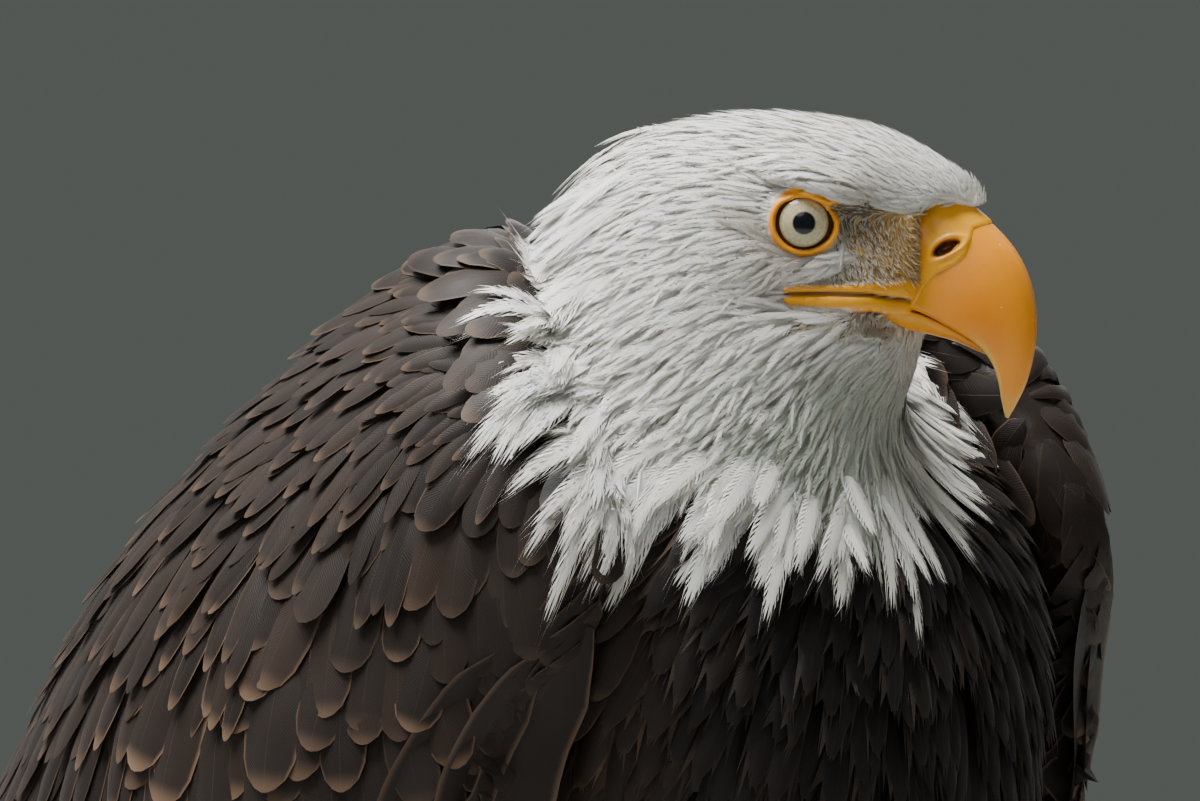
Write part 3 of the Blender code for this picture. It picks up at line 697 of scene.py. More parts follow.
def toeAxes(sign, heading):
    # level directions along a toe and across it
    yaw = sign * (heading + foot["turn"])
    out = np.array([math.sin(yaw), -math.cos(yaw), 0.0])
    return out, np.array([-out[1], out[0], 0.0])


def toeLine(ankle, out, length, radius):
    # a toe's middle line and radii: pads swell it in waves, a raised knuckle near the palm, flat on the floor
    along = np.linspace(0, 1, foot["rings"])
    pads = 1 + foot["padRelief"] * np.cos(2 * np.pi * along * length / foot["padSpacing"])
    radii = radius * (1.06 - 0.26 * along) * pads * (1 - 0.22 * smooth(0.86, 1.0, along))
    knuckle = np.sin(np.pi * np.minimum(1, along / foot["knuckleEnd"])) ** 2
    knuckle *= foot["knuckleRise"] * (1 - along)
    line = np.stack([0 * along + ankle[0], 0 * along + ankle[1], radii - foot["soleDrop"] + knuckle], -1)
    return line + out * (foot["sunk"] + length * along)[:, None], radii


def footShells(side):
    # shank, palm and four toes as overlapping shells; plates step along the front of shank and toes
    sign, ankle, heel = footPlaces(side)
    turns = 2 * np.pi * np.arange(28) / 28
    along = np.linspace(0, 1, 60)
    shaft = heel + (ankle - heel) * along[:, None]
    shaft[0] = heel + (heel - ankle) * 0.15
    width = np.interp(along, np.linspace(0, 1, 6), foot["shank"])
    front = np.maximum(0, -np.sin(turns)) ** 2
    plates = foot["scuteRise"] * ((along * 0.095 / (foot["scuteSpacing"] * 1.3)) % 1.0)
    reach = width[:, None] + plates[:, None] * front
    ring = np.stack([np.cos(turns) + 0 * reach, np.sin(turns) + 0 * reach, 0 * reach], -1) * reach[..., None]
    theta, phi = grid(np.linspace(0.03, np.pi - 0.03, 24), turns)
    ball = np.stack([np.sin(theta) * np.cos(phi), np.sin(theta) * np.sin(phi), np.cos(theta)], -1)
    shells = [loftShell(shaft[:, None] + ring), loftShell(ankle + ball * np.array(foot["palm"]))]
    for heading, length, radius, _ in foot["toes"].values():
        out, across = toeAxes(sign, heading)
        line, radii = toeLine(ankle, out, length, radius)
        step = (np.linspace(0, length, foot["rings"]) / foot["scuteSpacing"]) % 1.0
        lift = np.maximum(0, np.sin(turns)) ** 1.5
        reach = radii[:, None] + foot["scuteRise"] * step[:, None] * lift
        ring = across * (np.cos(turns) * reach)[..., None] + upward * (np.sin(turns) * reach)[..., None]
        points = line[:, None] + ring
        points[..., 2] = np.maximum(points[..., 2], 0.0)
        shells.append(loftShell(points))
    return shells


faceLines = {
    # mm ahead and height there: between the lips, over the bare lore, under the forehead, under the chin
    "mouth": ((-6, 0, 6, 16, 24, 31, 36), (-19.4, -19.3, -19.3, -19.6, -21.4, -24.2, -27.5)),
    "lore": ((6, 8.6, 16.4, 20.8, 28.5), (4.0, 4.4, 4.9, 2.8, 1.4)),
    "billTop": ((32.3, 38, 43, 44.5), (5.7, 5.0, 1.9, -2)),
    "forehead": ((20, 27.5, 32.3, 38, 43, 44.5), (3.2, 2.0, 5.0, 4.8, 1.7, -2)),
    "chin": ((7, 16, 24, 31, 36), (-29.5, -29.9, -31.1, -32.5, -34)),
    # mm up and how far ahead the bill and the bristles' front border lie there
    "billRear": ((-20, 1.6, 5.7, 8), (27, 27, 32.3, 60)),
    "bristles": ((-20, 1.6, 5.7, 8), (27.6, 27.6, 32.9, 36)),
}


def faceLine(name, at):
    places, values = faceLines[name]
    return np.interp(at, np.array(places) * mm, np.array(values) * mm)


def mouthLine(far):
    return faceLine("mouth", far)


lips = {
    "places": np.array([-6.2, -5.4, -4.0, 0, 13, 20, 27]) * mm,
    "upper": np.array([0.05, 1.7, 2.3, 2.5, 3.0, 4.4, 6.8]) * mm,
    "lower": np.array([0.05, 2.4, 3.4, 3.8, 4.3, 4.8, 5.6]) * mm,
    "corner": -6.0 * mm, "relief": 1.5 * mm, "gap": 0.40 * mm,
}
lids = {
    "rim": 7.45 * mm, "width": 2.3 * mm, "edge": 9.8 * mm,
    # the fold lies this far over the eye's middle, falling towards the bill; the brow stands out over it
    "foldHeight": 8.0 * mm, "foldSlope": 0.33, "shelf": 4.0 * mm,
}


def lipShares(points):
    # how far inside the upper and the lower lip's band a point lies, 0 at its edges and 1 along its middle
    far, side, up = toHead(points)
    inFront = smooth(lips["corner"], lips["corner"] + 0.8 * mm, far)
    off = up - mouthLine(far)
    above = np.clip(off / tableAt(lips, "upper", far), 0, 1)
    below = np.clip(-off / tableAt(lips, "lower", far), 0, 1)
    inFront = inFront * (np.abs(side) > 6 * mm)
    return np.sin(np.pi * above) * inFront, np.sin(np.pi * below) * inFront, np.abs(off), inFront


def gazeOffsets(points, sign):
    # height out along one eye's gaze, and the way from its line: as vectors, towards the bill, and up
    centre, out, front = gazeFrame(sign)
    offset = points - centre
    height = offset @ out
    flat = offset - height[:, None] * out
    return height, flat, flat @ front, flat @ upward


def overFold(x, z):
    # height over the upper lid's fold
    return z - lids["foldHeight"] + lids["foldSlope"] * x


def lidForm(points):
    # a lid round each eye, opened over the eyeball, with the fold and the brow's shelf over it
    for sign in (1, -1):
        height, _, x, z = gazeOffsets(points, sign)
        radius = np.hypot(x / 1.05, z)
        ball = np.sqrt(np.maximum(gaze["ball"] ** 2 - (x**2 + z**2), 0))
        rim = lids["rim"] - 0.9 * mm * smoothMm(2, 6.5, z + 0.40 * x)
        rim += 0.5 * mm * smoothMm(3, 8, x) * (z < 3 * mm)
        margin = math.sqrt(gaze["ball"] ** 2 - lids["rim"] ** 2)
        t = np.clip((radius - rim) / lids["width"], 0, 1)
        lid = margin + 0.15 * mm + 1.25 * mm * np.sin(np.pi * t**0.7) ** 0.8 - 0.9 * mm * t
        slope = overFold(x, z)
        reach = smoothMm(-6, 0, x) * smoothMm(12.5, 8, x)
        fold = 2.6 * mm * bell(slope, 0.85 * mm) * reach
        shelf = lids["shelf"] * smoothMm(0.2, 1.7, slope) * smoothMm(11, 4, slope)
        shelf *= smoothMm(-15, -5, x) * smoothMm(19, 11, x)
        opened = smooth(rim + 0.15 * mm, rim - 0.45 * mm, radius)
        target = lid + (ball - 1.6 * mm - lid) * opened
        share = smoothMm(12.0, 9.9, radius) * (height > 0)
        lift = (target - height) * share + (fold + shelf) * (height > 0) * (1 - opened)
        points = points + lift[:, None] * gazeFrame(sign)[1]
    return points


def faceDetail(points, normals):
    # lids, lips, and the dip under the bill's root, on the finely divided skin of the face
    points = lidForm(points)
    upper, lower, away, inFront = lipShares(points)
    far, side, up = toHead(points)
    under = smoothMm(-0.2, 0.9, far - faceLine("billRear", up))
    under *= smoothMm(0.5, -0.8, up - faceLine("billTop", far))
    under *= smoothMm(-1, 1.5, up - mouthLine(far) - 2.5 * mm)
    points = points - normals * (under * (2 * mm + 5 * mm * smoothMm(2, 11, np.abs(side))))[:, None]
    # in front the lips sink under the horn, and the chin under the lower half of the bill
    chin = smoothMm(11, 17, far) * smoothMm(-4.4, -5.4, up - mouthLine(far))
    chin *= smoothMm(-1.6, 0, up - faceLine("chin", far))
    sunk = 1.9 * mm * smoothMm(24.5, 30, far) * smoothMm(7, 5, away)
    relief = lips["relief"] * np.maximum(upper, lower) ** 0.6 * smoothMm(31, 24, far)
    relief -= 1.2 * mm * bell(away, lips["gap"]) * inFront + sunk + 5.5 * mm * chin
    return points + np.sign(side)[:, None] * rightward * relief[:, None]


def makeSkin():
    # body, wings and thighs as one surface with a finely divided face, and the feet in the same mesh
    mesh = remeshed("skin", meshFrom("shells", bodyShells()), skinParts["voxel"], 6)
    work = bmesh.new()
    work.from_mesh(mesh)
    far, side, up = toHead(vertexPlaces(mesh))
    fine = ((far > -14 * mm) & (np.abs(side) > 2 * mm)) | (far > 18 * mm)
    fine &= within(up, -31, 15)
    edges = [edge for edge in work.edges if fine[edge.verts[0].index] and fine[edge.verts[1].index]]
    bmesh.ops.subdivide_edges(work, edges=edges, cuts=skinParts["fineCuts"], use_grid_fill=True)
    work.to_mesh(mesh)
    work.free()
    places = vertexPlaces(mesh)
    near = toHead(places)[0] > -20 * mm
    places[near] = faceDetail(places[near], fetched(mesh.vertices, "normal", 3)[near])
    mesh.vertices.foreach_set("co", places.ravel())
    mesh.update()
    work = bmesh.new()
    work.from_mesh(mesh)
    for side in bothSides:
        work.from_mesh(remeshed("foot", meshFrom("shells", footShells(side)), skinParts["footVoxel"], 2))
    bmesh.ops.recalc_face_normals(work, faces=work.faces)
    whole = bpy.data.meshes.new("skin")
    work.to_mesh(whole)
    work.free()
    whole.shade_smooth()
    places = vertexPlaces(whole)
    places[:, 2] = np.maximum(places[:, 2], 0.0)
    whole.vertices.foreach_set("co", places.ravel())
    skin = pieceFrom("skin", whole, finishes["skin"])
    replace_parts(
        skin, "trunk", "neck", "head", *[f"{part}_{side}" for side in bothSides for part in
        ("wing_shoulder", "wing_secondaries", "wing_primaries", "thigh", "tarsus", "foot")],
    )
    return skin


def eyeOffsets(points):
    # round the nearer gaze line: distance from it, way towards the bill, and height over the upper lid's fold
    radius, towards, over = np.full(len(points), 1.0), np.zeros(len(points)), np.zeros(len(points))
    for sign in (1, -1):
        height, flat, x, z = gazeOffsets(points, sign)
        away = np.linalg.norm(flat, axis=1)
        nearer = (height > 0) & (away < radius)
        radius = np.where(nearer, away, radius)
        towards = np.where(nearer, x, towards)
        over = np.where(nearer, overFold(x, z), over)
    return radius, towards, over


def onBrow(points):
    # places just over the fold, where the brow's feathers start
    radius, towards, over = eyeOffsets(points)
    inReach = (radius < 20 * mm) & within(towards, -8, 15)
    return inReach & within(over, 0.55, 9)


def faceTint(points, colour):
    # yellow lips and lids, a greenish-yellow patch before the eye, grey-brown shading round it, painted shade
    # in the mouth's slit
    far, side, up = toHead(points)
    radius, towards, over = eyeOffsets(points)
    overMouth = up - mouthLine(far)
    lore = smoothMm(6, 12, far) * smoothMm(36, 33, far)
    lore *= smoothMm(1.0, -1.0, up - faceLine("lore", far)) * smoothMm(-0.5, 1.5, overMouth)
    rear = smoothMm(-6, 4, up) * smoothMm(27, 17, far)
    bare = blended(colours["lore"], colours["loreRear"], rear)
    ring = smoothMm(14, 10, radius) * smoothMm(-12, -2, far) * smoothMm(1.2, 0, over)
    upper, lower, away, inFront = lipShares(points)
    lip = np.clip(np.maximum(upper, lower) * 3, 0, 1)
    jaw = smoothMm(9, 15, far) * smoothMm(-29.6, -28.4, up)
    jaw *= smoothMm(-1, -3, overMouth)
    # painted shade: a dark line along the closed mouth's slit
    slitShade = bell(away, 0.5 * mm) * inFront * (far < 33 * mm)
    lid = smooth(lids["edge"] + 0.35 * mm, lids["edge"] - 0.35 * mm, radius)
    lid *= smoothMm(1.1, 0.6, over)
    colour = layered(
        blended(colour, bare, lore), ("dusky", 0.6 * ring), ("lip", lip), ("jaw", jaw * (lip < 0.5)),
        ("mouthSlitShade", slitShade), ("lid", lid),
    )
    for sign in (1, -1):
        height, _, x, z = gazeOffsets(points, sign)
        fold = bell(overFold(x, z), 1.2 * mm, 4)
        fold *= smoothMm(-5, -2, x) * smoothMm(12, 10, x) * (height > 0)
        colour = layered(colour, ("lidFold", fold))
    return colour


skin = makeSkin()
skinPlaces = vertexPlaces(skin.data)
skinTint = markings(skinPlaces)
nearFace = toHead(skinPlaces)[0] > -20 * mm
skinTint[nearFace] = faceTint(skinPlaces[nearFace], skinTint[nearFace])
paint(skin.data, "tint", skinTint)
# scales cover the legs, but not the wings' tips behind them
paint(skin.data, "scaly", smooth(0.125, 0.11, skinPlaces[:, 2]) * (skinPlaces[:, 1] < 0.15 + shiftY))
print("skin ready:", len(skin.data.polygons), "faces")


view = {
    "azimuth": math.radians(-38), "elevation": math.radians(5), "distance": 2.5, "width": 325.2 * mm,
    # the middle of the view from the near eye's surface
    "across": -55.3 * mm, "over": -48.1 * mm,
}


def makeCamera():
    # level with the bird's head, to its right and in front, far enough for a long lens
    turn, lift = view["azimuth"], view["elevation"]
    back = np.array([math.sin(turn) * math.cos(lift), -math.cos(turn) * math.cos(lift), math.sin(lift)])
    across = np.array([math.cos(turn), math.sin(turn), 0.0])
    over = np.cross(back, across)
    nearEye = eyeCentres["right"] + gazeFrame(1)[1] * gaze["ball"]
    target = nearEye + across * view["across"] + over * view["over"]
    lens = bpy.data.cameras.new("camera")
    lens.sensor_width = 36
    lens.lens = 36 * view["distance"] / view["width"]
    camera = bpy.data.objects.new("camera", lens)
    bpy.context.scene.collection.objects.link(camera)
    camera.location = target + back * view["distance"]
    camera.rotation_euler = Vector(back).to_track_quat("Z", "Y").to_euler()
    bpy.context.scene.camera = camera


lamps = {
    # name: place, size, watts, colour
    "sky": ((-0.50, 0.26, 2.3), 1.8, 165, (1.0, 0.99, 0.97)),
    "front": ((-1.9, -1.7, 1.9), 1.4, 10, (1.0, 0.98, 0.95)),
    "rim": ((1.6, 1.5, 1.4), 1.2, 16, (0.95, 0.98, 1.0)),
}
studio = {"world": (0.30, 0.33, 0.30), "strength": 0.31, "floor": (0.48, 0.475, 0.455), "floorRadius": 1.6}


def makeStudio():
    # three round lamps, an even sky and a plain round floor
    for name, (place, size, watts, colour) in lamps.items():
        light = bpy.data.lights.new(name, "AREA")
        light.shape, light.size, light.energy, light.color = "DISK", size, watts, colour
        lamp = bpy.data.objects.new(name, light)
        bpy.context.scene.collection.objects.link(lamp)
        lamp.location = place
        lamp.rotation_euler = (Vector((0, 0, 0.35)) - Vector(place)).to_track_quat("-Z", "Y").to_euler()
    world = bpy.data.worlds.new("studio")
    bpy.context.scene.world = world
    world.use_nodes = True
    ground = world.node_tree.nodes["Background"]
    ground.inputs["Color"].default_value = (*studio["world"], 1)
    ground.inputs["Strength"].default_value = studio["strength"]
    turns = 2 * np.pi * np.arange(96) / 96
    edge = np.stack([np.cos(turns), np.sin(turns), 0 * turns], -1) * studio["floorRadius"]
    disc = bpy.data.meshes.new("floor")
    disc.from_pydata(edge.tolist(), [], [list(range(96))])
    floor = bpy.data.objects.new("floor", disc)
    bpy.context.scene.collection.objects.link(floor)
    finish, w = finishNamed("floor_paint", Roughness=0.85)
    tint = w.mix(w.noise(w.place(), 3.0), studio["floor"], np.array(studio["floor"]) * 0.94)
    w.send(tint, "Base Color")
    disc.materials.append(finish)


makeCamera()
makeStudio()
print("camera and light ready")


def unwrapSkin():
    # the skin's own unwrap, which every feather's patch is placed on
    bpy.ops.object.select_all(action="DESELECT")
    skin.select_set(True)
    bpy.context.view_layer.objects.active = skin
    skin.data.uv_layers.new(name="OFBake")
    bpy.ops.object.mode_set(mode="EDIT")
    bpy.ops.mesh.select_all(action="SELECT")
    bpy.ops.uv.smart_project(angle_limit=math.radians(72), island_margin=0.002)
    bpy.ops.object.mode_set(mode="OBJECT")


unwrapSkin()
skinMesh = skin.data
skinTree = BVHTree.FromPolygons([v.co for v in skinMesh.vertices], [f.vertices for f in skinMesh.polygons])
skinUv = fetched(skinMesh.uv_layers["OFBake"].data, "uv", 2)
skinNormals = fetched(skinMesh.vertices, "normal", 3)
loopStart = fetched(skinMesh.polygons, "loop_start", kind=int)
loopCount = fetched(skinMesh.polygons, "loop_total", kind=int)
loopVertex = fetched(skinMesh.loops, "vertex_index", kind=int)
print("skin unwrapped")


def onSkin(points):
    # the nearest points of the skin, its smooth normals there, how far they were, and their faces
    hits = [skinTree.find_nearest(point) for point in points.tolist()]
    places = np.array([hit[0] for hit in hits])
    faces = np.array([hit[2] for hit in hits])
    away = np.array([hit[3] for hit in hits])
    corners = loopVertex[loopStart[faces][:, None] + np.minimum(np.arange(4), loopCount[faces][:, None] - 1)]
    weights = 1 / (np.linalg.norm(skinPlaces[corners] - places[:, None], axis=2) + 1e-5) ** 2
    normals = unit((skinNormals[corners] * weights[..., None]).sum(1))
    return places, normals, away, faces


# a vane's outline: half widths along it, as a share of the feather's width
outlines = {
    "bristle": ((0, 0.5), (0.45, 1.0), (1, 0.1)),
    "plume": ((0, 0.30), (0.2, 0.80), (0.45, 1.0), (0.7, 0.82), (0.88, 0.50), (1, 0.10)),
    "lance": ((0, 0.22), (0.2, 0.75), (0.45, 1.0), (0.7, 0.82), (0.88, 0.42), (1, 0.06)),
    "leaf": ((0, 0.28), (0.25, 0.78), (0.55, 1.0), (0.78, 0.86), (0.92, 0.56), (0.98, 0.28), (1, 0.06)),
    "ruff": ((0, 0.30), (0.2, 0.80), (0.45, 1.0), (0.7, 0.90), (0.88, 0.60), (1, 0.16)),
    "round": (
        (0, 0.25), (0.15, 0.70), (0.4, 0.96), (0.65, 1.0), (0.82, 0.88), (0.92, 0.66), (0.98, 0.34), (1, 0.08)
    ),
    "long": (
        (0, 0.12), (0.06, 0.35), (0.2, 0.80), (0.5, 1.0), (0.8, 0.92), (0.92, 0.70), (0.98, 0.36), (1, 0.08),
    ),
}
templates = {
    # rows along, columns across, spikes that fray the edges and the tip, camber as a share of the half width
    "bristle": {"rows": (0, 0.45), "columns": 1, "camber": 0.0},
    "plume": {"rows": (0, 0.22, 0.45, 0.68, 0.86), "columns": 2, "core": 0.42, "barbs": 8, "camber": 0.2},
    "lance": {"rows": (0, 0.2, 0.42, 0.62, 0.80, 0.93), "columns": 4, "sideSpikes": 2, "camber": 0.30},
    "leaf": {"rows": (0, 0.25, 0.55, 0.78, 0.92, 0.98, 1.0), "columns": 4, "tip": False, "camber": 0.24},
    "ruff": {"rows": (0, 0.22, 0.45, 0.68, 0.86), "columns": 2, "core": 0.5, "barbs": 13, "camber": 0.2},
    "round": {
        "rows": (0, 0.15, 0.4, 0.65, 0.82, 0.92, 0.98, 1.0), "columns": 4, "tip": False, "camber": 0.22,
    },
    "long": {"rows": tuple(np.linspace(0, 1, 22)), "columns": 8, "tip": False, "camber": 0.16},
}


def makeTemplate(kind):
    # a flat feather: (along, across, place across the vane) of its points as shares of length and half width,
    # its faces, and how loosely each point hangs
    shape = templates[kind]
    columns, rows = shape["columns"], shape["rows"]
    across = np.linspace(-1, 1, columns + 1)
    width = np.interp(rows, *zip(*outlines[kind])) * shape.get("core", 1.0)
    along = np.repeat(rows, columns + 1)
    points = np.stack([along, (width[:, None] * across).ravel(), np.tile(across, len(rows))], -1)
    faces = gridFaces(len(rows), columns + 1, False).tolist()
    last = (len(rows) - 1) * (columns + 1)
    extra, fixed = [], []
    if shape.get("tip", True):
        endWidth = np.interp(1.0, *zip(*outlines[kind]))
        for k in range(columns):
            middle = (across[k] + across[k + 1]) / 2
            wide = middle * max(endWidth, width[-1] * 0.75)
            extra.append((1.0 + 0.02 * math.cos(middle * 3), wide, middle))
            faces.append([last + k, last + k + 1, len(points) + len(extra) - 1])
    for k in range(shape.get("barbs", 0)):
        # separate barbs that leave the narrow core and run forward to the outline
        begin = 0.14 + 0.66 * k / (shape["barbs"] - 1)
        for sign in (-1, 1):
            core = np.interp(begin, rows, width) * 0.5
            middle, end = begin + 0.14, begin + 0.30
            outer = np.interp(min(middle, 1), *zip(*outlines[kind]))
            tip = np.interp(min(end, 1), *zip(*outlines[kind])) * 0.95
            first = len(points) + len(extra)
            broad = 0.36 / shape["barbs"]
            for far, wide in (
                (begin, core), (begin + broad, core), (middle, outer * 0.86),
                (middle + broad * 0.7, outer * 0.78), (end, tip),
            ):
                extra.append((far, sign * wide, sign * wide))
            quad, point = [first, first + 1, first + 3, first + 2], [first + 2, first + 3, first + 4]
            faces += [quad, point] if sign > 0 else [quad[::-1], point[::-1]]
            fixed += range(first, first + 4)
    for k in range(shape.get("sideSpikes", 0)):
        row = len(rows) - 2 - k
        for edge in (0, columns):
            base = row * (columns + 1) + edge
            sign = -1 if edge == 0 else 1
            reach = (rows[row] + rows[row + 1]) / 2 + 0.13
            extra.append((reach, sign * (width[row] + 0.18), sign))
            order = [base, len(points) + len(extra) - 1, base - (columns + 1)]
            faces.append(order if edge == 0 else order[::-1])
    loose = np.zeros(len(points) + len(extra))
    loose[len(points) :] = 1.0
    loose[fixed] = 0.0
    if "barbs" in shape:
        loose[len(points) : len(points) + columns] = 0.0
    return np.vstack([points, *([extra] if extra else [])]), faces, loose


def between(values, share):
    # each feather's values at fractional places along its line
    low = np.minimum(share.astype(int), values.shape[1] - 2)
    part = (share - low)[None, :, None]
    return values[:, low] * (1 - part) + values[:, low + 1] * part


def layFeathers(kind, roots, flows, lengths, widths, depths, stations=5, droop=0.0, splay=0.12, rise=0.75):
    # walks each feather over the skin from its root along the flow, lifting it towards its tip,
    # and gives every vertex of every feather
    points, faces, loose = makeTemplate(kind)
    count = len(roots)
    place, normal, _, rootFaces = onSkin(roots)
    flow = unit(flows - (flows * normal).sum(1, keepdims=True) * normal)
    side = np.cross(normal, flow)
    turn = dice.normal(0, splay, count)[:, None]
    flow = unit(flow * np.cos(turn) + side * np.sin(turn))
    bend = dice.normal(0, splay * 0.6, count)[:, None] / stations
    lifts = depths * dice.uniform(0.75, 1.2, count)
    line, sides, ups = [], [], []
    for k in range(stations + 1):
        side = unit(np.cross(normal, flow))
        lift = lifts * (k / stations) ** rise
        line.append(place + normal * lift[:, None])
        sides.append(side)
        ups.append(normal)
        if k == stations:
            break
        step = place + flow * (lengths / stations)[:, None]
        if droop:
            step = step - upward * droop * (lengths / stations)[:, None]
        newPlace, newNormal = onSkin(step)[:2]
        flow = newPlace - place + side * bend * (lengths / stations)[:, None]
        flow = unit(flow - (flow * newNormal).sum(1, keepdims=True) * newNormal)
        place, normal = newPlace, unit(newNormal + normal)
    line, sides, ups = (np.stack(part, 1) for part in (line, sides, ups))
    share = np.clip(points[:, 0], 0, 1) * stations
    middle, across, up = between(line, share), unit(between(sides, share)), unit(between(ups, share))
    half = (widths / 2)[:, None, None]
    wide = points[:, 1][None, :, None] * half
    camber = templates[kind]["camber"] * (points[:, 1] ** 2)[None, :, None] * half
    beyond = np.maximum(points[:, 0] - 1, 0)[None, :, None] * lengths[:, None, None]
    endFlow = unit(line[:, -1] - line[:, -2])[:, None]
    fray = dice.normal(0, 1, (count, len(points), 1)) * loose[None, :, None]
    vertices = middle + across * wide - up * camber
    vertices += endFlow * (beyond + fray * 0.07 * lengths[:, None, None])
    vertices += across * dice.normal(0, 0.16, (count, len(points), 1)) * loose[None, :, None] * half
    return {
        "vertices": vertices, "faces": faces, "points": points, "rootFaces": rootFaces,
        "lengths": lengths, "widths": widths,
    }


def varied(colour, spread, count):
    # one colour with a little change in lightness and warmth for each feather
    light = 1 + dice.normal(0, spread, count)[:, None]
    warm = 1 + dice.normal(0, spread * 0.35, count)[:, None] * np.array([1.0, 0.0, -1.2])
    return np.clip(np.broadcast_to(colour, (count, 3)) * light * warm, 0.002, 0.95)


def feathersMesh(name, laid, colour, shades, spreads, coat, fringe=lambda count: np.zeros(count)):
    # one mesh of all laid feathers with their maps and colours; shades and spreads are for roots and for tips
    count, size = laid["vertices"].shape[:2]
    rootTint, tipTint = (varied(colour * shade, spread, count) for shade, spread in zip(shades, spreads))
    fringes = fringe(count)
    faces = np.array([face + face[-1:] * (4 - len(face)) for face in laid["faces"]])
    isQuad = np.array([len(face) == 4 for face in laid["faces"]])
    starts = (np.arange(count) * size)[:, None, None]
    quads = (faces[isQuad][None] + starts).reshape(-1, 4)
    triangles = (faces[~isQuad][:, :3][None] + starts).reshape(-1, 3)
    loops = np.concatenate([quads.ravel(), triangles.ravel()])
    totals = np.concatenate([np.full(len(quads), 4), np.full(len(triangles), 3)])
    mesh = bpy.data.meshes.new(name)
    mesh.vertices.add(count * size)
    mesh.vertices.foreach_set("co", laid["vertices"].reshape(-1).astype(np.float32))
    mesh.loops.add(len(loops))
    mesh.loops.foreach_set("vertex_index", loops.astype(np.int32))
    mesh.polygons.add(len(totals))
    mesh.polygons.foreach_set("loop_start", (np.cumsum(totals) - totals).astype(np.int32))
    mesh.update(calc_edges=True)
    mesh.validate()
    mesh.shade_smooth()
    points = laid["points"]
    vane = np.stack([points[:, 2] * 0.5 + 0.5, np.clip(points[:, 0], 0, 1)], -1)
    corner = loops % size
    mesh.uv_layers.new(name="vane").data.foreach_set("uv", vane[corner].ravel().astype(np.float32))
    rootUv = skinUv[loopStart[laid["rootFaces"]]]
    patch = rootUv[loops // size] + 0.003 * (vane[corner] - 0.5)
    mesh.uv_layers.new(name="OFBake").data.foreach_set("uv", patch.ravel().astype(np.float32))
    share = (np.clip(points[:, 0], 0, 1) ** 1.2)[None, :, None]
    paint(mesh, "tint", (rootTint[:, None] * (1 - share) + tipTint[:, None] * share).reshape(-1, 3))
    paint(mesh, "length", np.repeat(laid["lengths"], size))
    paint(mesh, "width", np.repeat(laid["widths"], size))
    paint(mesh, "fringe", np.repeat(fringes, size))
    print(f"{name}: {count} feathers, {2 * len(quads) + len(triangles)} triangles")
    return pieceFrom(name, mesh, finishes[coat])


def scattered(wanted, density):
    # random places on the skin's faces where wanted(points) holds, this many to the square metre
    centres, areas = fetched(skinMesh.polygons, "center", 3), fetched(skinMesh.polygons, "area")
    chosen = np.nonzero(wanted(centres))[0]
    amount = areas[chosen] * density
    counts = np.floor(amount + dice.uniform(size=len(chosen))).astype(int)
    roots = np.repeat(centres[chosen], counts, axis=0)
    spread = np.repeat(np.sqrt(areas[chosen]), counts)[:, None]
    return roots + dice.uniform(-0.5, 0.5, roots.shape) * spread


def tract(surface, uRange, spacing):
    # staggered roots over a surface of (u, v): rows and the places in a row are about spacing(u) apart
    loop = np.linspace(0, 1, 65)[:-1]
    rows, u, j = [], uRange[0], 0
    step = 0.02 if uRange[1] > uRange[0] else -0.02
    while (u - uRange[1]) * step < 0:
        ring = surface(np.full(64, u), loop)
        nextRing = surface(np.full(64, u + step), loop)
        gap = np.linalg.norm(nextRing - ring, axis=1)
        girth = np.linalg.norm(np.diff(np.vstack([ring, ring[:1]]), axis=0), axis=1)
        want = spacing(u)
        move = want / np.percentile(gap, 80) * abs(step)
        count = max(5, int(girth.sum() / want))
        reach = np.concatenate([[0], np.cumsum(girth)]) / girth.sum()
        even = (np.arange(count) + 0.5 * (j % 2) + dice.uniform(-0.3, 0.3, count)) / count % 1
        v = np.interp(even, reach, np.linspace(0, 1, 65))
        keep = dice.uniform(size=count) < np.interp(v, loop, gap / np.percentile(gap, 80), period=1) * 1.05
        rows.append(np.stack([np.full(count, u) + dice.uniform(-0.3, 0.3, count) * move, v], 1)[keep])
        u += move * math.copysign(1, step)
        j += 1
    return np.vstack(rows)


def flowOf(surface, places, along=-1.0):
    # the direction over the surface in which u falls, or rises where along is 1
    u, v = places[:, 0], places[:, 1]
    return unit(surface(u + 0.05 * along, v) - surface(u - 0.05 * along, v))


def shown(roots, depth, slack=0.0035):
    # the roots that lie by the skin's outside rather than under another part of the bird
    place, normal, away = onSkin(roots)[:3]
    outside = ((roots - place) * normal).sum(1) > -0.002
    return outside & (away < depth * 1.4 + slack)


headCoat = {
    "front": 15.8, "places": (8.8, 10.5, 12.5, 14, 16),
    "spacing": (0.0025, 0.0021, 0.00165, 0.00130, 0.00110),
    "length": (0.022, 0.0168, 0.0118, 0.0076, 0.0048),
    "slender": (0.155, 0.160, 0.175, 0.200, 0.24),
}


def bareFace(points):
    # places that carry bristles or nothing: the eyes, lores, lips and the root of the bill
    far, side, up = toHead(points)
    upper, lower, away, inFront = lipShares(points)
    eye = (eyeOffsets(points)[0] < 9.3 * mm) & ~onBrow(points)
    lore = (far > 7.5 * mm) & (up < faceLine("lore", far)) & (up > -25.5 * mm) & (np.abs(side) > 7 * mm)
    lore &= ~((far < 14 * mm) & (up < -8 * mm) & (up > -14 * mm))
    lip = (np.maximum(upper, lower) > 0.12) | ((away < 1.0 * mm) & (inFront > 0.2))
    overMouth = up - mouthLine(far)
    corner = within(far, -6, 12) & (np.abs(side) > 6 * mm)
    lip |= corner & (overMouth > 0) & (overMouth < 4.5 * mm)
    lip |= (far > 14 * mm) & (overMouth < 0) & (up > -30.6 * mm)
    bill = (far > 27 * mm) & (up < 3.0 * mm) & (up > -31 * mm)
    return eye | lore | lip | bill


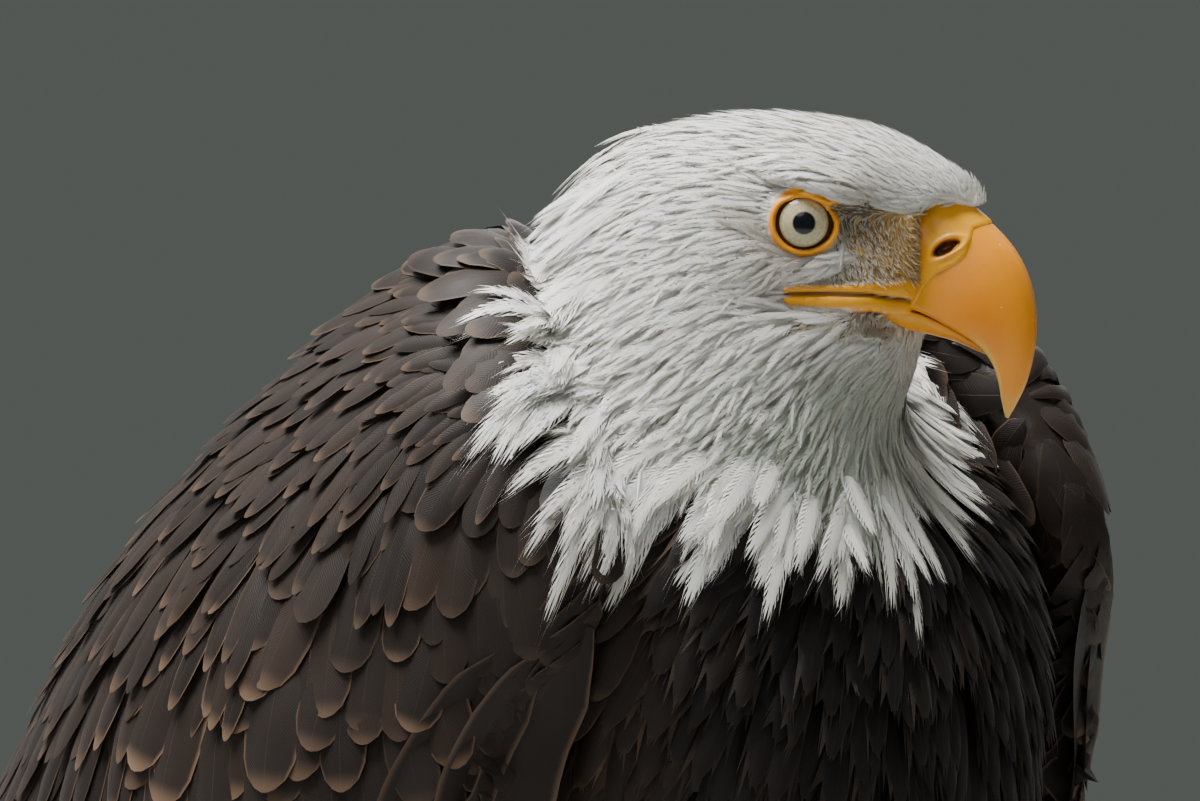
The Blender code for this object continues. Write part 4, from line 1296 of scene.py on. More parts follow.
def roundEyes(roots, flows):
    # turns feathers away round the eyes
    for sign in (1, -1):
        height, flat, _, _ = gazeOffsets(roots, sign)
        turned = smoothMm(17, 10, np.linalg.norm(flat, axis=1)) * (height > 0) * ~onBrow(roots)
        flows = unit(flows + unit(flat) * 1.1 * turned[:, None])
    return flows


def clearOfFace(laid):
    # only the feathers that cross neither an eye nor a lip, and which ones they were
    shape = laid["vertices"].shape
    spots = laid["vertices"].reshape(-1, 3)
    radius, towards, over = eyeOffsets(spots)
    upper, lower, away, inFront = lipShares(spots)
    far, side, up = toHead(spots)
    corner = np.hypot(far - lips["corner"] - 1.2 * mm, up - mouthLine(lips["corner"])) < 2.2 * mm
    bad = (radius < 8.8 * mm) & (over < 0.5 * mm)
    bad |= (np.maximum(upper, lower) > 0.35) | ((away < 1 * mm) & (inFront > 0.5))
    bad |= corner & (np.abs(side) > 10 * mm)
    clear = ~bad.reshape(shape[:2]).any(axis=1)
    return {key: laid[key] if key in ("faces", "points") else laid[key][clear] for key in laid}, clear


def headFeathers(name, start, end):
    # small plumes over the head from one section to another, longer down the throat, with painted
    # greenish-grey shade there
    places = tract(bodyPoint, (start, end), lambda u: tableAt(headCoat, "spacing", u))
    roots = bodyPoint(places[:, 0], places[:, 1], coatDepth(places[:, 0]))
    keep = ~bareFace(roots) & (collarGap(places[:, 0], places[:, 1]) > 0.02)
    places, roots = places[keep], roots[keep]
    u = places[:, 0]
    flows = flowOf(bodyPoint, places)
    far, side, up = toHead(roots)
    shadedThroat = smoothMm(-28, -40, up) * smoothMm(-34, 2, far)
    lengths = tableAt(headCoat, "length", u) * varying(0.8, 1.2, u)
    lengths *= 1 + 1.1 * shadedThroat * smoothMm(4, 20, far)
    widths = lengths * tableAt(headCoat, "slender", u) * varying(0.85, 1.15, u)
    byLips = smoothMm(9, 4, np.abs(up - mouthLine(far))) * smoothMm(-16, -8, far)
    flows = unit(flows * (1 - byLips)[:, None] - ahead * byLips[:, None])
    flows = roundEyes(roots, flows)
    laid = layFeathers("plume", roots, flows, lengths, widths, coatDepth(u) * 0.95, stations=3, splay=0.13)
    laid, clear = clearOfFace(laid)
    roots, u, shadedThroat = roots[clear], u[clear], shadedThroat[clear]
    far, side, up = toHead(roots)
    under = smoothMm(20, 11, eyeOffsets(roots)[0]) * smoothMm(6, -2, up) * 0.5
    before = 0.35 * smoothMm(18, 4, np.abs(far - 16 * mm)) * smoothMm(12, 4, np.abs(up - 6 * mm))
    fleck = (dice.uniform(size=len(u)) < 0.10) * 0.45 * smoothMm(-24, 2, far)
    shade = np.maximum.reduce([under, before, fleck])
    # painted greenish-grey shade darkens the plumes under the throat
    colour = layered(markings(roots), ("shadedThroat", shadedThroat * 0.8), ("dusky", shade))
    feathersMesh(name, laid, colour, (0.90, 1), (0.04, 0.04), "white")


neckCoat = {
    "to": 10.8, "length": 26 * mm, "width": 3.9 * mm, "density": 1.55e5,
    "places": (6.2, 10.2), "size": (1.2, 0.72),
}


def overCollar(points):
    return (collarHeight(points) > 0.012) & (points[:, 2] > 0.34)


def neckFeathers():
    # longer plumes between the head and the ruff
    roots = scattered(overCollar, neckCoat["density"])
    places = bodyPlaces(roots)
    keep = (places[:, 0] < neckCoat["to"]) & ~((toHead(roots)[0] > 0) & (toHead(roots)[2] > -32 * mm))
    roots, places = roots[keep], places[keep]
    u, high = places[:, 0], collarGap(*places.T)
    flows = flowOf(bodyPoint, places)
    size = tableAt(neckCoat, "size", u)
    lengths = neckCoat["length"] * size * varying(0.8, 1.2, u)
    widths = neckCoat["width"] * size * varying(0.8, 1.2, u)
    laid = layFeathers("plume", roots, flows, lengths, widths, coatDepth(u), stations=4, splay=0.2)
    # painted greenish-grey shade on the plumes under the front of the neck
    under = smooth(0.30, 0.42, places[:, 1]) * smooth(0.72, 0.58, places[:, 1]) * smooth(0.012, 0.03, high)
    colour = layered(colours["white"], ("shadedThroat", under * 0.8))
    feathersMesh("neck_plumes", laid, colour, (0.90, 1), (0.04, 0.03), "white")


ruff = {
    "band": (0.004, 0.034), "length": 46 * mm, "width": 8 * mm, "density": 7.5e4, "stand": 4 * mm,
    "clumps": 23, "gather": 0.85,
}


def ruffBand(points):
    high = collarHeight(points)
    return (high > ruff["band"][0]) & (high < ruff["band"][1]) & (points[:, 2] > 0.34)


def ruffFeathers():
    # long pointed plumes that hang from the neck's lower edge over breast and shoulders
    roots = scattered(ruffBand, ruff["density"])
    places = bodyPlaces(roots)
    u, v = places.T
    # the plumes gather into pointed clumps: each leans to its clump's middle, and the middle ones are longest
    phase = v * ruff["clumps"]
    off = phase - np.round(phase)
    reach = dice.uniform(0.72, 1.12, ruff["clumps"] + 1)[np.round(phase).astype(int)]
    reach *= 1.12 - 0.9 * np.abs(off)
    sideways = unit(bodyPoint(u, v + 0.01) - bodyPoint(u, v - 0.01))
    flows = unit(flowOf(bodyPoint, places) - sideways * (ruff["gather"] * off)[:, None])
    lengths = ruff["length"] * reach * varying(0.8, 1.1, u)
    widths = ruff["width"] * varying(0.8, 1.2, u)
    depth = coatDepth(u) + ruff["stand"] * varying(0.1, 1, u)
    laid = layFeathers(
        "ruff", roots, flows, lengths, widths, depth, stations=6, splay=0.13, droop=0.05, rise=0.6
    )
    feathersMesh("ruff_plumes", laid, colours["white"], (0.84, 1), (0.04, 0.03), "white")


trunkCoat = {
    # by section: spacing, length, width of the feathers on the back and under the belly
    "places": (0, 2, 4, 6, 8.5),
    "spacing": (0.013, 0.012, 0.0115, 0.0095, 0.0075),
    "length": (0.060, 0.052, 0.048, 0.040, 0.032),
    "width": (0.022, 0.020, 0.018, 0.015, 0.012),
}


def trunkFeathers():
    # white coverts under the tail, pointed feathers on breast and belly, round ones on the back
    places = tract(bodyPoint, (0.15, 8.4), lambda u: tableAt(trunkCoat, "spacing", u))
    u = places[:, 0]
    roots = bodyPoint(u, places[:, 1], coatDepth(u))
    keep = (collarGap(u, places[:, 1]) < 0.018) & shown(roots, coatDepth(u))
    places, roots, u = places[keep], roots[keep], u[keep]
    belly = smooth(0.25, 0.40, 0.5 - np.abs(places[:, 1] - 0.5))
    flows = flowOf(bodyPoint, places)
    lengths = tableAt(trunkCoat, "length", u) * (1 - 0.15 * belly) * varying(0.85, 1.15, u)
    widths = tableAt(trunkCoat, "width", u) * (1 - 0.35 * belly) * varying(0.9, 1.1, u)
    colour = markings(roots + unit(flows) * 0.012)
    white = colour[:, 1] > 0.3
    onBack = np.cos(2 * np.pi * places[:, 1]) > 0
    x, y, z = roots.T
    depths = coatDepth(u)
    bridged = onBack & (y > 0.07 + shiftY) & (np.abs(x) > 0.022) & (z < 0.40)
    for name, chosen, kind, coat in (
        ("rump_coverts", white & ~onBack, "round", "white"),
        ("breast_and_back", ~white & (belly > 0.5), "lance", "brown"),
        ("mantle", ~white & (belly <= 0.5) & ~bridged, "round", "brown"),
    ):
        parts = (part[chosen] for part in (roots, flows, lengths, widths, depths))
        laid = layFeathers(kind, *parts, splay=0.10)
        plain = 1 - 0.8 * belly[chosen]
        feathersMesh(
            name, laid, colour[chosen], (0.75, 1), (0.12, 0.14), coat,
            lambda count: dice.uniform(0.1, 0.5, count) * plain,
        )


covert = {
    # by section from the wrist: width of the small feathers, and length over width
    "places": (0, 1, 2, 2.7, 3.6, 5, 7),
    "width": (0.0115, 0.0135, 0.0165, 0.0205, 0.022, 0.024, 0.026),
    "slender": (2.3, 2.3, 2.3, 2.4, 2.8, 3.2, 3.4),
    # by turn across the wing: how many degrees they turn to its lower edge
    "turnAcross": (0, 0.15, 0.35, 0.6, 0.85, 1.0),
    "turn": (2, 10, 22, 46, 60, 66),
    # by turn across the wing: the section where they end
    "endTurns": (0.3, 0.5, 0.6, 0.75, 0.9, 1.0),
    "ends": (4.7, 4.3, 3.8, 2.8, 2.4, 2.2),
    # shape, and gaps along and across and the width as shares of the width above
    "kinds": {"median": ("round", 0.70, 0.60, 1.0), "lesser": ("leaf", 0.52, 0.32, 0.48)},
}


def wingFlow(side, u, v, turn):
    # the feathers' direction over the wing: along it, turned by this angle towards its lower edge
    alongWing = unit(wingPoint(u + 0.05, v, side) - wingPoint(u - 0.05, v, side))
    acrossWing = unit(wingPoint(u, v + 0.01, side) - wingPoint(u, v - 0.01, side))
    acrossWing = unit(acrossWing - alongWing * (alongWing * acrossWing).sum(-1, keepdims=True))
    return alongWing * np.cos(turn)[..., None] + acrossWing * np.sin(turn)[..., None]


def coverPlaces(side, alongGap, acrossGap):
    # staggered roots in rows across the wing, from the last one back to the wrist, round onto its inside
    rows, u, j = [], 0.05, 0
    while u < 4.7:
        width = float(tableAt(covert, "width", u))
        line = wingPoint(np.full(60, u), np.linspace(0, 1, 60), side)
        reach = np.linalg.norm(np.diff(line, axis=0), axis=1).sum()
        end = np.interp(u, (0, 1.2, 3.0, 4.7), (2.0, 1.9, 1.35, 1.06))
        count = max(4, int(reach * end / (width * acrossGap)))
        v = (np.arange(count) + 0.25 + 0.5 * (j % 2) + dice.uniform(-0.2, 0.2, count)) / count * end
        step = np.linalg.norm(wingPoint(u + 0.1, 0.5, side) - wingPoint(u, 0.5, side)) / 0.1
        across = u + dice.uniform(-0.25, 0.25, count) * width * alongGap / step
        rows.append(np.stack([across, np.clip(v, 0.001, 1.999)], 1))
        u += width * alongGap / step
        j += 1
    return np.vstack(rows)[::-1].T


def wingCoverts(side):
    # small slender feathers over the upper part of the wing, and broad round ones below them
    for name, (kind, alongGap, acrossGap, narrow) in covert["kinds"].items():
        u, v = coverPlaces(side, alongGap, acrossGap)
        slender = smooth(0.66, 0.50, v + 0.06 * np.sin(7 * u)) * smooth(4.5, 3.9, u) > 0.5
        outline = wingPoint(u, v, side)
        away = onSkin(outline)[2]
        ends = np.minimum(tableAt(covert, "ends", v, "endTurns"), np.where(v > 1.0, 1.2, 9))
        keep = (away < 0.014) & (u < ends) & ((v > 0.05) | (u < 3)) & (slender == (name == "lesser"))
        u, v, outline = u[keep], v[keep], outline[keep]
        turn = tableAt(covert, "turn", v, "turnAcross") * np.interp(u, (0, 3.4, 4.6), (1, 1, 0.6))
        flows = wingFlow(side, u, v, np.where(v > 1, -0.4, np.radians(turn)))
        widths = tableAt(covert, "width", u) * varying(0.85, 1.15, u)
        lengths = widths * tableAt(covert, "slender", u) * varying(0.9, 1.1, u)
        light = varying(0.65, 1.3, u) * (1 - 0.25 * smooth(0.7, 0.95, v))
        fringe = dice.normal(0.16, 0.16, len(u)) + 0.55 * smooth(1.5, 2.4, u) * smooth(0.45, 0.62, v)
        widths *= narrow
        laid = layFeathers(kind, outline, flows, lengths, widths, wingCoat(u) * 0.85, splay=0.09, rise=0.5)
        feathersMesh(
            f"{name}_coverts_{side}", laid, colours["brown"] * light[:, None], (0.7, 1.15), (0.12, 0.14),
            "brown", lambda count: np.clip(fringe, 0.02, 1),
        )


flight = {
    # how many, u and v of the first and the last one's root and of their tips, width, height in the coat,
    # colour, fringe: primaries, secondaries, tertials and greater coverts
    "layers": (
        (11, (4.6, 0.93), (3.9, 0.50), (9.2, 0.86), (9.9, 0.10), 0.032, 0.0010, "quill", 0.10),
        (14, (3.2, 0.98), (4.2, 0.14), (6.4, 0.93), (8.7, 0.05), 0.038, 0.0024, "quill", 0.15),
        (6, (3.4, 0.30), (3.4, 0.03), (8.0, 0.20), (7.0, 0.00), 0.036, 0.0030, "covert", 0.25),
        (16, (1.2, 1.00), (3.8, 0.08), (3.5, 1.00), (6.1, 0.08), 0.031, 0.0032, "covert", 0.40),
    ),
    "sunk": 0.0064, "stations": 13,
}


def layVanes(kind, lines, sides, ups, widths):
    # feathers on given middle lines, with the way across and out at each of their places
    points, faces, _ = makeTemplate(kind)
    share = np.clip(points[:, 0], 0, 1) * (lines.shape[1] - 1)
    middle, across, out = (between(values, share) for values in (lines, sides, ups))
    wide = points[:, 1][None, :, None] * (widths / 2)[:, None, None]
    camber = templates[kind]["camber"] * np.abs(points[:, 1])[None, :, None] * np.abs(wide)
    return {
        "vertices": middle + unit(across) * wide - unit(out) * camber, "faces": faces, "points": points,
        "rootFaces": onSkin(lines[:, 0])[3], "widths": widths,
        "lengths": np.linalg.norm(np.diff(lines, axis=1), axis=2).sum(axis=1),
    }


bridge = {
    # y and height over the eyes of the line between the wings' inner edges, before shifting
    "line": (
        (0.030, -0.022), (0.060, -0.036), (0.092, -0.058), (0.139, -0.101),
        (0.186, -0.158), (0.230, -0.217), (0.264, -0.268), (0.292, -0.311),
    ),
    "half": (0.034, 0.040, 0.037, 0.032, 0.029, 0.026, 0.022, 0.018),
    "length": 0.066, "width": 0.024, "rows": 23, "across": 6, "depth": 0.005, "rise": 0.008, "hollow": 4,
}


def backBridge():
    # brown feathers that close the back between the folded wings, down to the tail
    line = np.array(bridge["line"])
    reach = np.concatenate([[0], np.cumsum(np.linalg.norm(np.diff(line, axis=0), axis=1))])
    row, column = map(np.ravel, grid(np.arange(bridge["rows"]), np.arange(bridge["across"])))
    start = (row + varying(-0.6, 0.6, row)).clip(0) / (bridge["rows"] - 1)
    start *= reach[-1] - bridge["length"]
    shift = column + 0.5 * (row % 2) + varying(-0.15, 0.15, row)
    shift = shift / (bridge["across"] - 0.5) * 2 - 1
    share = np.linspace(0, 1, flight["stations"])
    along = start[:, None] + bridge["length"] * varying(0.85, 1.1, row)[:, None] * share
    y, z = (np.interp(along, reach, line[:, k]) for k in (0, 1))
    x = shift[:, None] * np.interp(along, reach, bridge["half"])
    over = unit(np.stack([0 * y, -np.gradient(z, axis=1), np.gradient(y, axis=1)], -1))
    height = bridge["rise"] * share - bridge["depth"] - bridge["hollow"] * x**2
    middle = np.stack([x, y + shiftY, z + headPoint[2]], -1) + over * height[..., None]
    sides = unit(np.array([1.0, 0, 0]) - over * (2 * bridge["hollow"] * x)[..., None])
    widths = bridge["width"] * varying(0.9, 1.1, row)
    laid = layVanes("round", middle, sides, over, widths)
    feathersMesh(
        "back_feathers", laid, colours["brown"], (0.7, 1), (0.12, 0.14), "brown",
        lambda count: dice.uniform(0.1, 0.4, count),
    )


def flightFeathers(side):
    # long vanes laid along the wing's outline, each layer over the one before
    lines, sides, ups, widths, tints, fringes = [], [], [], [], [], []
    share = np.linspace(0, 1, flight["stations"])
    for layer, (count, rootA, rootB, tipA, tipB, width, over, tint, fringe) in enumerate(flight["layers"]):
        for k in range(count):
            t = k / (count - 1)
            root = np.array(rootA) * (1 - t) + np.array(rootB) * t
            tip = np.array(tipA) * (1 - t) + np.array(tipB) * t + dice.normal(0, (0.06, 0.006))
            u = root[0] + (tip[0] - root[0]) * share
            v = root[1] + (tip[1] - root[1]) * share
            spot = wingPoint(u, v, side)
            alongWing = unit(np.gradient(spot, axis=0))
            acrossWing = unit(wingPoint(u, v + 0.01, side) - wingPoint(u, v - 0.01, side))
            out = unit(np.cross(alongWing, acrossWing)) * (1 if side == "right" else -1)
            out *= np.sign((out * spot * np.array([1, 0, 1])).sum())
            wanted = over - flight["sunk"] + 0.0006 * (k % 2) + 0.0011 * t + 0.001 * share
            least = 0.0009 + 0.0006 * layer + 0.0004 * (k % 2) - wing["skinShare"] * wingCoat(u)
            rise = np.maximum(wanted, least)
            lines.append(spot + out * rise[:, None])
            sides.append(unit(np.cross(out, alongWing)))
            ups.append(out)
            widths.append(width * dice.uniform(0.95, 1.05))
            tints.append(colours[tint])
            fringes.append(fringe)
    laid = layVanes("long", *(np.stack(part) for part in (lines, sides, ups, widths)))
    feathersMesh(
        "flight_feathers_" + side, laid, np.array(tints), (0.8, 1), (0.08, 0.08), "brown",
        lambda count: fringes * dice.uniform(0.6, 1.4, count),
    )


scapular = {
    "spacing": 0.0125, "length": 0.074, "width": 0.021, "depth": 0.0085,
    "rows": (0.002, 0.035, 0.090, 0.145, 0.200), "sections": (0.6, 6.2),
}


def scapulars(side):
    # long feathers over the join of back and wing
    rows, (start, end) = [], scapular["sections"]
    for j, v in enumerate(scapular["rows"]):
        line = wingPoint(np.linspace(start, end, 80), np.full(80, v), side)
        reach = np.linalg.norm(np.diff(line, axis=0), axis=1).sum()
        count = int(reach / scapular["spacing"])
        share = (np.arange(count) + 0.5 * (j % 2) + dice.uniform(-0.2, 0.2, count)) / count
        u = start + (end - start) * share
        rows.append(np.stack([u, np.full(count, v)], 1))
    u, v = np.vstack(rows).T
    outline = wingPoint(u, v, side)
    flows = wingFlow(side, u, v, np.radians(np.interp(v, (0, 0.25), (-4, 12))))
    size = np.interp(u, (0.6, 2.5, 6.2), (0.62, 1.0, 1.15)) * varying(0.9, 1.1, u)
    lengths, widths = scapular["length"] * size, scapular["width"] * size
    depths = np.full(len(u), scapular["depth"])
    laid = layFeathers("round", outline, flows, lengths, widths, depths, stations=6, splay=0.07)
    feathersMesh(
        "scapulars_" + side, laid, colours["brown"], (0.65, 0.85), (0.12, 0.14), "brown",
        lambda count: np.clip(dice.normal(0.22, 0.12, count), 0.03, 1),
    )


def thighFeathers(side):
    # the dark trousers, laid downwards from the flank to the shank
    def surface(u, v):
        return thighPoint(u, v, side)

    places = tract(surface, (4.85, 0.1), lambda u: np.interp(u, (0, 5), (0.0095, 0.0065)))
    u, v = places.T
    depth = thighCoat(u)
    roots = thighPoint(u, v, side, depth)
    keep = shown(roots, depth)
    u, v, depth, roots = u[keep], v[keep], depth[keep], roots[keep]
    flows = flowOf(surface, np.stack([u, v], 1), 1.0)
    lengths = np.interp(u, (0, 3, 5), (0.042, 0.036, 0.026)) * varying(0.85, 1.15, u)
    widths = np.interp(u, (0, 5), (0.014, 0.009)) * varying(0.9, 1.1, u)
    laid = layFeathers("lance", roots, flows, lengths, widths, depth * 0.9, stations=4, splay=0.12)
    colour = layered(colours["brown"], ("black", 0.35))
    feathersMesh(
        "thigh_plumes_" + side, laid, colour, (0.8, 1), (0.12, 0.14), "brown",
        lambda count: np.full(count, 0.2),
    )


tail = {
    "length": 0.275, "pitch": math.radians(50), "root": (0.0, 0.2020, -0.2812),
    "places": (0, 0.17, 0.20, 0.235, 0.275), "reach": (0.020, 0.021, 0.028, 0.045, 0.057),
    "arch": 0.015, "sidesShorter": 0.10, "step": 0.0005, "lift": 0.010,
    # vanes: how many, start, share of the length, height in the fan, bulging up or down, width
    "layers": (
        (12, 0.0, 1.0, 0.0, 1, 0.030), (7, -0.022, 0.46, 0.0035, 1, 0.024),
        (6, -0.030, 0.30, 0.0060, 1, 0.024), (7, -0.015, 0.42, -0.0040, -1, 0.024),
    ),
}


def tailFeathers():
    # white vanes fanned from one root, the middle ones on top, with shorter coverts over and under them
    down = np.array([0, math.cos(tail["pitch"]), -math.sin(tail["pitch"])])
    over = np.array([0, math.sin(tail["pitch"]), math.cos(tail["pitch"])])
    root = np.array(tail["root"]) + np.array([0, shiftY, headPoint[2]])
    points, faces, _ = makeTemplate("long")
    layers = []
    for count, start, length, lift, side, widths in tail["layers"]:
        across = (np.arange(count) + 0.5) / count * 2 - 1
        lengths = (tail["length"] * (1 - tail["sidesShorter"] * across**2) * length)[:, None]
        if length < 1:
            lengths = lengths * dice.uniform(0.8, 1.15, lengths.shape)
        along = start + lengths * np.clip(points[:, 0], 0, 1)
        reach = np.interp(along, tail["places"], tail["reach"])
        x = across[:, None] * reach * 0.84 + points[:, 1] * widths / 2
        x = np.clip(x, -reach, reach)
        height = tail["arch"] * (1 - (x / reach) ** 2) - tail["step"] * np.abs(across[:, None] * count / 2)
        height += lift + tail["lift"] * smooth(0.17, 0.22, along)
        height += side * 0.05 * (1 - points[:, 1] ** 2) * widths
        vertices = root + down * along[..., None] + over * height[..., None]
        vertices[..., 0] += x
        layers.append((vertices, lengths[:, 0], np.full(count, widths)))
    vertices, lengths, widths = (np.concatenate(part) for part in zip(*layers))
    laid = {
        "vertices": vertices, "faces": faces, "points": points, "rootFaces": onSkin(vertices[:, 0])[3],
        "lengths": lengths, "widths": widths,
    }
    piece = feathersMesh("tail_feathers", laid, colours["white"], (0.94, 0.97), (0.02, 0.03), "white")
    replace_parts(piece, "tail")


headFeathers("crown_plumes", 8.8, 12.0)
headFeathers("face_plumes", 12.0, headCoat["front"])
neckFeathers()
ruffFeathers()
trunkFeathers()
for side in bothSides:
    flightFeathers(side)
    wingCoverts(side)
    scapulars(side)
    thighFeathers(side)
tailFeathers()
backBridge()
print("feathers laid")


# Bill sections from root to hook: ahead and up of the ridge, the same of the cutting edge, half width, in mm.
upperBill = np.array([
    (24.0, 8.5, 14.0, -20.0, 14.5), (33.5, 6.6, 22.5, -22.5, 13.0), (41.8, 1.0, 29.2, -25.3, 11.8),
    (49.5, -6.7, 34.5, -28.3, 10.6), (54.3, -15.8, 38.8, -30.9, 9.2), (56.1, -25.5, 42.5, -34.0, 7.5),
    (55.7, -34.5, 45.0, -37.8, 5.8), (53.7, -43.0, 46.5, -43.0, 4.1), (51.0, -49.0, 47.1, -48.6, 2.5),
    (48.4, -53.6, 47.7, -53.2, 0.7),
]) * mm
# The lower half is the same table turned over: its ridge runs along the chin.
lowerBill = np.array([
    (6.0, -28.6, 6.0, -21.2, 20.0), (15.0, -29.0, 15.0, -21.6, 16.6), (23.0, -30.2, 24.0, -24.0, 12.8),
    (30.0, -31.6, 30.5, -26.6, 10.6), (35.5, -33.2, 36.0, -29.8, 8.2), (39.8, -35.1, 40.0, -32.6, 5.6),
    (43.6, -36.7, 43.4, -35.4, 2.6),
]) * mm
bill = {
    "arch": 88, "palate": 12, "palateRise": 0.10, "upperRoundness": 0.9, "lowerRoundness": 0.8,
    # the cere's front border: height share over the cutting edge, and section it reaches
    "borderHeights": (0, 0.24, 0.38, 0.55, 0.68, 0.80, 0.89, 0.95, 1.0),
    "border": (1.25, 1.38, 1.58, 2.05, 2.14, 2.06, 1.95, 2.08, 2.2),
    "cereThickness": 0.5 * mm, "forward": 0.9 * mm, "down": 0.9 * mm,
}
nostril = {
    "far": 34.2 * mm, "up": -7.3 * mm, "length": 4.2 * mm, "height": 1.9 * mm, "slant": math.radians(29),
    "depth": 2.6 * mm,
}


def billRing(table, roundness, u, turn):
    # a half's outside at section u and turn (-90 to 90 degrees over the ridge), as ahead, side and up
    row = rowsAt(table, u)
    rise = np.maximum(np.cos(turn), 0) ** roundness
    return (
        row[..., 2] + (row[..., 0] - row[..., 2]) * rise + bill["forward"],
        row[..., 4] * power(np.sin(turn), roundness),
        row[..., 3] + (row[..., 1] - row[..., 3]) * rise - bill["down"],
        rise,
    )


def billPalate(table, u, across):
    # the closing side of a half, bowed a little towards the ridge
    row = rowsAt(table, u)
    rise = bill["palateRise"] * (1 - across**2)
    far = row[..., 2] + (row[..., 0] - row[..., 2]) * rise + bill["forward"]
    return far, row[..., 4] * across, row[..., 3] + (row[..., 1] - row[..., 3]) * rise - bill["down"]


def billShell(table, roundness, uGrid, swell=None):
    # a closed shell over the sections in uGrid, one row of sections per ring; swell pushes its outside out
    turns = np.radians(np.linspace(-90, 90, uGrid.shape[1]))
    far, side, up, rise = np.broadcast_arrays(*billRing(table, roundness, uGrid, turns[None, :]))
    outside = fromHead(far, side, up)
    if swell is not None:
        out = unit(np.cross(np.gradient(outside, axis=0), np.gradient(outside, axis=1)))
        middle = outside.mean(axis=1, keepdims=True)
        out *= np.sign((out * (outside - middle)).sum(-1).mean())
        outside = outside + out * swell(far, side, up, rise)[..., None]
    across = np.linspace(1, -1, bill["palate"] + 2)[1:-1]
    inside = fromHead(*billPalate(table, uGrid[:, :1] * 0 + uGrid[:, -1:], across[None, :]))
    rings = np.concatenate([outside, inside], 1)
    rises = np.concatenate([rise, np.zeros(inside.shape[:2])], 1)
    sections = np.concatenate([uGrid, np.repeat(uGrid[:, -1:], inside.shape[1], 1)], 1)
    return loftShell(rings), rises.ravel(), sections.ravel()


def cereBorder(rise):
    return np.interp(rise, bill["borderHeights"], bill["border"])


def nostrilShare(far, side, up):
    # 1 at the middle of a nostril's opening, 0 on its rim, negative outside
    x, z = far - nostril["far"], up - nostril["up"]
    alongSlit = x * math.cos(nostril["slant"]) + z * math.sin(nostril["slant"])
    acrossSlit = -x * math.sin(nostril["slant"]) + z * math.cos(nostril["slant"])
    flat = acrossSlit + 0.10 * alongSlit**2 / nostril["length"]
    return 1 - np.sqrt((alongSlit / nostril["length"]) ** 2 + (flat / nostril["height"]) ** 2)


def hornFinish(name, gloss, specks):
    # bill horn: the painted colour with soft clouds, pale specks and faint growth lines
    finish, w = finishNamed(
        name, Roughness=gloss, Coat_Weight=0.18, Coat_Roughness=0.22, Specular_IOR_Level=0.4,
        Subsurface_Weight=0.18, Subsurface_Scale=1.0, Subsurface_Radius=(0.005, 0.0025, 0.0008),
    )
    place = w.place()
    tint = w.attribute("tint", "Color")
    clouds = w.noise(place, 95.0, 4.0)
    clouded = w.mix(w.ramp(clouds, 0.48, 0.78, 0.0, 0.22), tint, (0.93, 0.42, 0.06))
    deep = w.mix(w.ramp(w.noise(place, 60.0, 2.0), 0.35, 0.65, 0.3, 0.0), clouded, (0.84, 0.27, 0.003))
    speck = w.ramp(w.cells(place, 210.0), 0.10, 0.04, 0.0, specks)
    w.send(w.mix(speck, deep, (0.95, 0.72, 0.46)), "Base Color")
    fine = w.noise(place, 900.0, 3.0)
    lines = w.noise(place, 220.0, 3.0)
    height = w.math("ADD", w.times(fine, 0.3), lines)
    w.send(w.bump(height, 0.0002, 0.5), "Normal")
    w.send(w.math("MULTIPLY_ADD", lines, 0.25, gloss - 0.12), "Roughness")
    return finish


finishes["horn"] = hornFinish("bill_horn", 0.34, 0.45)
finishes["cere"] = hornFinish("cere_skin", 0.42, 0.3)


def upperTint(rise, section):
    # orange horn: rosy by the cere, a pale painted highlight along the ridge, deep in the lower middle, pale
    # at edge and tip
    return layered(
        colours["horn"],
        ("hornRosy", bell(section - 1.9, 1.1) * smooth(0.95, 0.4, rise) * 0.5),
        ("hornDeep", bell(section - 4.3, 1.7) * bell(rise - 0.30, 0.24) * 0.7),
        ("hornRidgeHighlight", smooth(0.93, 0.995, rise) * smooth(9, 6, section) * 0.25),
        ("hornEdge", smooth(0.16, 0.02, rise) * smooth(3.4, 5.5, section) * 0.75),
        ("hornTip", smooth(7.2, 8.9, section) * 0.8),
        ("lip", smooth(2.2, 1.3, section) * smooth(0.42, 0.20, rise)),
    )


def lowerTint(rise, section):
    # orange, with painted shade darkening it towards its tip and underside, and fleshy at its root
    shade = smooth(2.6, 5.5, section) * 0.75 * smooth(0.0, 0.6, rise)
    return layered(colours["lowerHorn"], ("lowerShade", shade), ("lip", smooth(4.2, 2.4, section) * 0.8))


def addBillPiece(name, shell, tint, finish):
    mesh = meshFrom(name, [shell])
    paint(mesh, "tint", tint(mesh))
    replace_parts(pieceFrom(name, mesh, finishes[finish]), name)


def makeBill():
    rings = np.linspace(0, 1, 110)[:, None]
    turns = np.radians(np.linspace(-90, 90, bill["arch"] + 1))
    start = cereBorder(np.maximum(np.cos(turns), 0) ** bill["upperRoundness"])[None, :] - 0.22
    shell, rises, sections = billShell(upperBill, bill["upperRoundness"], start + (9.0 - start) * rings)
    addBillPiece("beak_upper", shell, lambda mesh: upperTint(rises, sections), "horn")
    lowerGrid = np.linspace(0, 6, 70)[:, None] + 0 * turns[None, :]
    shell, rises, sections = billShell(lowerBill, bill["lowerRoundness"], lowerGrid)
    addBillPiece("beak_lower", shell, lambda mesh: lowerTint(rises, sections), "horn")


def cereTint(mesh):
    # yellow, fleshy towards the mouth, brown round the nostril, and painted shade darkening its sunk opening
    # and floor
    far, side, up = toHead(vertexPlaces(mesh))
    inside = nostrilShare(far, side, up)
    return layered(
        np.broadcast_to(colours["cere"], (len(far), 3)),
        ("lip", smooth(-0.2, -1.2, inside) * smoothMm(-4, -14, up)),
        ("nostrilRim", smooth(-0.10, 0.06, inside) * 0.8),
        # painted shade inside the nostril's hollow
        ("nostril", smooth(0.04, 0.22, inside)),
        ("nostrilFloorShade", smooth(0.50, 0.85, inside) * 0.9),
    )


